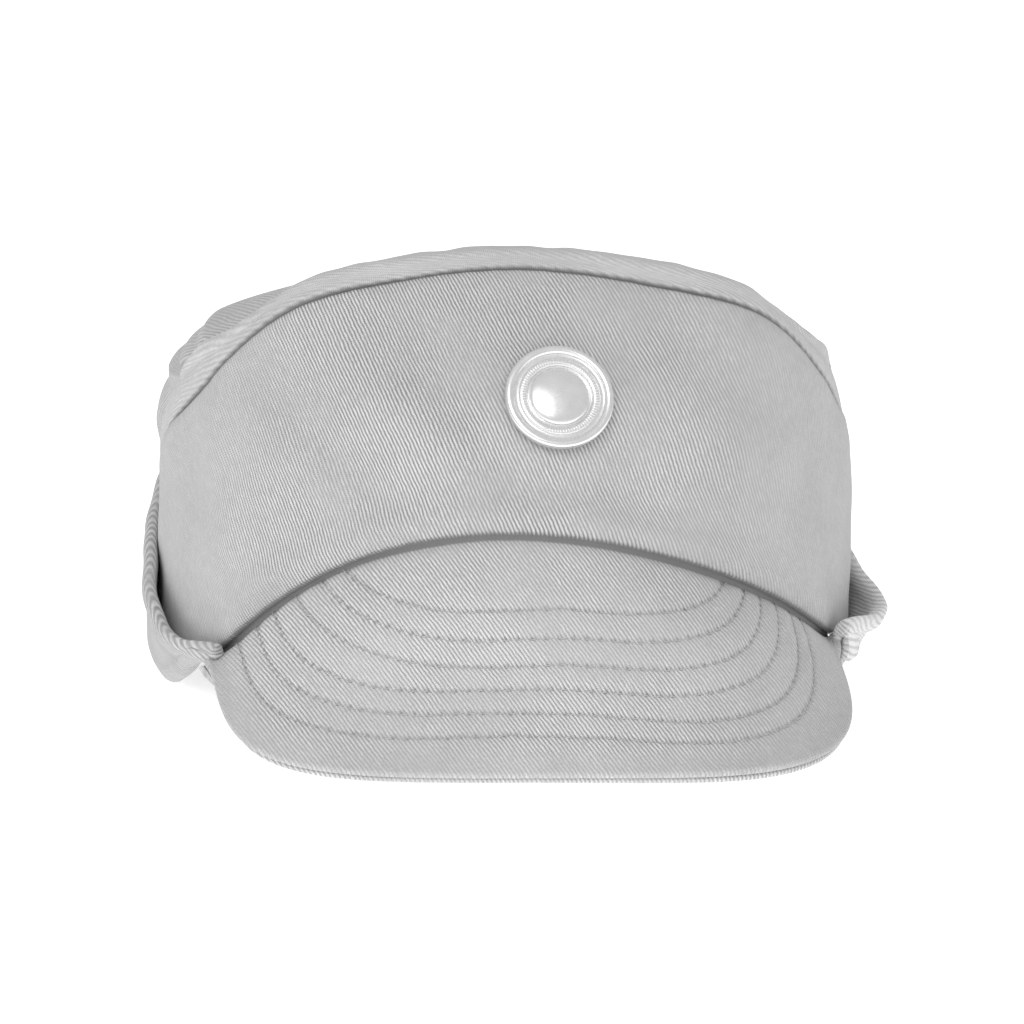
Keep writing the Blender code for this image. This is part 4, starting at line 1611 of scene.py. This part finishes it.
@dataclass
class RowSewing:
    """Stitches set end to end along lines on the cloth."""

    pitch: float
    length: float
    thread: float
    flatness: float = 0.85
    slant: float = 0.09

    def tree(self) -> TreeWriter:
        """Builds the tree that sets one stitch at each step of a line.

        Returns:
            The finished tree.
        """
        w = TreeWriter("row_stitches", {"Pitch": self.pitch, "Length": self.length,
                                        "Thread": self.thread, "Slant": self.slant, "Seed": 4})
        curve = w.node("GeometryNodeMeshToCurve", {}, {"Mesh": w.size("Geometry")})
        even = w.node("GeometryNodeResampleCurve", {"mode": "LENGTH"}, {
            "Curve": curve, "Length": w.size("Pitch")})
        points, aim = w.points_on(even)
        thread = w.size("Thread")
        stitch = w.grain(w.size("Length"), thread, w.times(thread, self.flatness))
        swing = w.node("FunctionNodeRandomValue", {"data_type": "FLOAT"}, {
            2: w.times(w.size("Slant"), -1.0), 3: w.size("Slant"), "Seed": w.size("Seed")}, 1)
        yaw = w.node("ShaderNodeCombineXYZ", {}, {2: swing})
        turn = w.node("FunctionNodeEulerToRotation", {}, {0: yaw})
        aimed = w.node("FunctionNodeRotateRotation", {"rotation_space": "LOCAL"}, {0: aim, 1: turn})
        w.close(points, stitch, aimed)
        return w

    def make(self, name: str, lines: list[Array], finish: bpy.types.Material) -> bpy.types.Object:
        """Sews along the lines."""
        carrier = path_object(name, lines)
        return self.tree().apply(carrier, {"Finish": finish})


@dataclass
class Badge:
    """A round turned-metal badge: a flat flange, a rounded rim, a milled ring and a low dome."""

    form: HeadForm
    gap: float = 0.0004
    radius: float = 0.0134
    flange: float = 0.0013
    back_edge: float = 0.00025
    bead: float = 0.0009
    bead_width: float = 0.0022
    ring_margin: float = 0.00012
    dome_radius: float = 0.0074
    dome_rise: float = 0.0016
    groove: float = 0.00018
    face_dip: float = 0.00006
    mill_count: int = 84
    mill_width: float = 0.46 * MM
    mill_height: float = 0.50 * MM
    turns: int = 168

    @property
    def ring(self) -> float:
        """Radius of the milled ring's middle."""
        return self.dome_radius + self.bead_width * 0.75

    def seat(self) -> Matrix:
        """The badge's frame on the cloth, its Z facing out.

        Returns:
            The frame as a matrix.
        """
        form, turn, climb = self.form, 0.2, 0.002
        azimuth, run = form.badge_place
        around = form.wall(azimuth + turn, run) - form.wall(azimuth - turn, run)
        upward = form.wall(azimuth, run + climb) - form.wall(azimuth, run - climb)
        outward = Vector(unit(np.cross(around, upward)))
        level = Vector((0, 0, 1)).cross(outward).normalized()
        rotation = Matrix((level, outward.cross(level), outward)).transposed()
        place = Vector(form.wall(azimuth, run)) + outward * (form.cloth + self.gap)
        return Matrix.Translation(place) @ rotation.to_4x4()

    def outline(self) -> list[tuple[float, float]]:
        """The turned body's section, from the middle of the face, over the rim, to that of the back.

        Returns:
            Radii and heights.
        """
        base, points = self.flange, []

        def arc(middle: float, half: float, rise: float, foot: float) -> None:
            """Adds a round ridge."""
            for turn in np.radians(np.linspace(180, 0, 13)):
                points.append((middle + half * math.cos(turn), foot + rise * math.sin(turn)))

        for turn in np.radians(np.linspace(0, 90, 19)):
            points.append((self.dome_radius * math.sin(turn), base + self.dome_rise * math.cos(turn)))
        half = self.bead_width / 2
        points.append((self.dome_radius + 0.00006, base - self.groove))
        points.append((self.ring - half - 0.00004, base - self.groove))
        arc(self.ring, half - self.ring_margin, self.bead * 0.62, base)
        points.append((self.ring + half, base - self.face_dip))
        rim = self.radius - half
        points.append((rim - half - self.ring_margin, base - self.face_dip))
        arc(rim, half, self.bead, base)
        for turn in np.radians(np.linspace(20, 90, 5)):
            points.append((self.radius - self.back_edge * (1 - math.cos(turn)),
                           self.back_edge * (1 - math.sin(turn))))
        points.append((0.0, 0.0))
        return points

    def make(self, metal: bpy.types.Material) -> list[bpy.types.Object]:
        """Builds the turned body and its milled ring.

        Args:
            metal: finish of both.

        Returns:
            The body, then the ring.
        """
        seat = self.seat()
        outline = self.outline()
        bm = bmesh.new()
        layer = bm.loops.layers.uv.new(CLOTH_MAP)
        angles = np.linspace(0, 2 * math.pi, self.turns, endpoint=False)
        rings = []
        for radius, height in outline:
            if radius < 1e-9:
                rings.append([bm.verts.new((0, 0, height))] * self.turns)
            else:
                rings.append([bm.verts.new((radius * math.cos(a), radius * math.sin(a), height))
                              for a in angles])
        along = totals(np.linalg.norm(np.diff(outline, axis=0), axis=1))
        for row in range(len(rings) - 1):
            for i in range(self.turns):
                j = (i + 1) % self.turns
                corners = [rings[row][i], rings[row + 1][i], rings[row + 1][j], rings[row][j]]
                lengths = [along[row], along[row + 1], along[row + 1], along[row]]
                turns = [i, i, i + 1, i + 1]
                kept = [n for n in range(4) if corners[n] not in corners[:n]]
                face = bm.faces.new([corners[n] for n in kept])
                for loop, n in zip(face.loops, kept):
                    loop[layer].uv = (lengths[n], turns[n] / self.turns)
        bmesh.ops.transform(bm, matrix=seat, verts=bm.verts)
        mesh = bpy.data.meshes.new("badge_body")
        bm.to_mesh(mesh)
        bm.free()
        mesh.shade_smooth()
        mesh.materials.append(metal)
        return [linked("badge_body", mesh), self.milled_ring(seat, metal)]

    def milled_ring(self, seat: Matrix, metal: bpy.types.Material) -> bpy.types.Object:
        """Fine ridges across the inner ring.

        Args:
            seat: the badge's frame.
            metal: its finish.

        Returns:
            The new piece.
        """
        w = TreeWriter("milled_ring", {"Count": self.mill_count, "Ring radius": self.ring,
                                       "Ridge length": self.bead_width * 0.86,
                                       "Ridge width": self.mill_width,
                                       "Ridge height": self.mill_height})
        circle = w.node("GeometryNodeCurvePrimitiveCircle", {"mode": "RADIUS"}, {
            "Resolution": w.size("Count"), "Radius": w.size("Ring radius")})
        points, aim = w.points_on(circle)
        w.close(points, w.grain(*map(w.size, ("Ridge width", "Ridge length", "Ridge height"))), aim)
        obj = w.apply(path_object("badge_milled_ring", [np.zeros((2, 3))]), {"Finish": metal})
        lift = self.flange + self.bead * 0.50
        obj.data.transform(seat @ Matrix.Translation((0, 0, lift)))
        return obj


@dataclass
class Studio:
    """Plain white floor, soft light and the photograph's camera."""

    azimuth: float = -7.0
    elevation: float = 13.0
    distance: float = 1.6
    lens: float = 216.56
    shift_right: float = 0.0026
    shift_up: float = 0.036
    sky: float = 0.66
    frontal: float = 12.0
    softbox_place: tuple[float, float, float] = (-0.65, -1.60, 1.55)
    softbox_size: tuple[float, float] = (1.4, 1.1)
    softbox_aim: tuple[float, float, float] = (0.0, -0.02, 0.06)
    floor_half: float = 6.0
    floor_glow: float = 0.62

    def floor(self) -> None:
        """A wide plain floor that keeps only a trace of shadow."""
        finish = Finish("pale_floor")
        place = finish.node("ShaderNodeTexCoord", {}, {}, "Object")
        speck = finish.noise(place, 3.0, 2.0)
        finish.set(Base_Color=finish.grey(speck, 0.88, 0.92), Roughness=0.9,
                   Emission_Color=(1.0, 1.0, 1.0, 1.0), Emission_Strength=self.floor_glow)
        bm = bmesh.new()
        bmesh.ops.create_grid(bm, x_segments=8, y_segments=8, size=self.floor_half)
        mesh = bpy.data.meshes.new("studio_floor")
        bm.to_mesh(mesh)
        bm.free()
        mesh.materials.append(finish.material)
        obj = linked("studio_floor", mesh)

    def lamp(self, name: str, place: tuple[float, float, float], width: float, height: float,
             power: float) -> None:
        """A soft rectangular lamp aimed at the cap.

        Args:
            name: the lamp's name.
            place: where it stands.
            width: of its face.
            height: of its face.
            power: in watts.
        """
        light = bpy.data.lights.new(name, "AREA")
        light.shape = "RECTANGLE"
        light.size, light.size_y, light.energy = width, height, power
        obj = linked(name, light)
        obj.location = place
        aim = Vector(self.softbox_aim) - Vector(place)
        obj.rotation_euler = aim.to_track_quat("-Z", "Y").to_euler()

    def light(self) -> None:
        """An even white surround with a broad light near the camera."""
        world = bpy.data.worlds.new("white_surround")
        bpy.context.scene.world = world
        world.use_nodes = True
        background = world.node_tree.nodes["Background"]
        background.inputs["Color"].default_value = (1, 1, 1, 1)
        background.inputs["Strength"].default_value = self.sky
        self.lamp("front_softbox", self.softbox_place, *self.softbox_size, self.frontal)

    def camera(self) -> None:
        """The camera that fits the photograph."""
        turn, tilt = math.radians(self.azimuth), math.radians(self.elevation)
        back = Vector((math.sin(turn) * math.cos(tilt), -math.cos(turn) * math.cos(tilt), math.sin(tilt)))
        right = Vector((math.cos(turn), math.sin(turn), 0.0))
        up = back.cross(right)
        aim = right * self.shift_right + up * self.shift_up + Vector(HeadForm().origin)
        data = bpy.data.cameras.new("photo_camera")
        data.sensor_width, data.lens = 36.0, self.lens
        data.clip_start, data.clip_end = 0.05, 50.0
        obj = linked("photo_camera", data)
        rotation = Matrix((right, up, back)).transposed().to_4x4()
        obj.matrix_world = Matrix.Translation(aim + back * self.distance) @ rotation
        bpy.context.scene.camera = obj

    def build(self) -> None:
        """Sets up the whole studio."""
        self.camera()
        self.floor()
        self.light()
        bpy.context.scene.view_settings.view_transform = "Standard"
        bpy.context.scene.view_settings.look = "None"


def main() -> None:
    """Builds the cap piece by piece and reports each."""
    logging.basicConfig(level=logging.INFO, format="%(name)s %(message)s")
    form = HeadForm()
    panel_twill = TwillFinish("front_twill").material()
    band_twill = TwillFinish("band_twill", rib_angle=14.0, contrast=0.80, level=0.55).material()
    crown_twill = TwillFinish("crown_twill", rib_angle=77.0, rib_pitch=1.4 * MM,
                               contrast=0.55, level=0.50).material()
    side_twill = TwillFinish("side_twill").material()
    flap_twill = TwillFinish("flap_twill", rib_angle=14.0, contrast=0.80).material()
    peak_twill = TwillFinish("peak_twill", rib_angle=57.0, rib_pitch=0.87 * MM,
                             contrast=0.70, level=0.60).material()
    thread = ThreadFinish().material()
    metal = MetalFinish("badge_metal", MetalKind.TURNED, 0.90, 0.27).material()
    steel = MetalFinish("stud_steel", MetalKind.STAMPED, 0.45, 0.45).material()

    body = BodyCloth(form)
    settle(body.front_panel(panel_twill), "twill", "front_panel")
    settle(body.edge_band(band_twill), "twill", "edge_band")
    settle(body.top_panel(crown_twill), "twill", "top_panel")
    settle(body.side_panel(-1, "side_cloth_left", side_twill), "twill", "side_panel_left")
    settle(body.side_panel(1, "side_cloth_right", side_twill), "twill", "side_panel_right")
    settle(Flap(form).make(flap_twill), "twill", "flap")
    for piece, nodes in Peak(form).make(peak_twill, thread):
        settle(piece, "peak_twill", *nodes)
    turned, milled = Badge(form).make(metal)
    settle(turned, "badge_metal", "badge")
    settle(milled, "badge_metal")
    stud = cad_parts["badge_stud"]
    stud.data.materials.clear()
    stud.data.materials.append(steel)
    Studio().build()


if __name__ == "__main__":
    main()
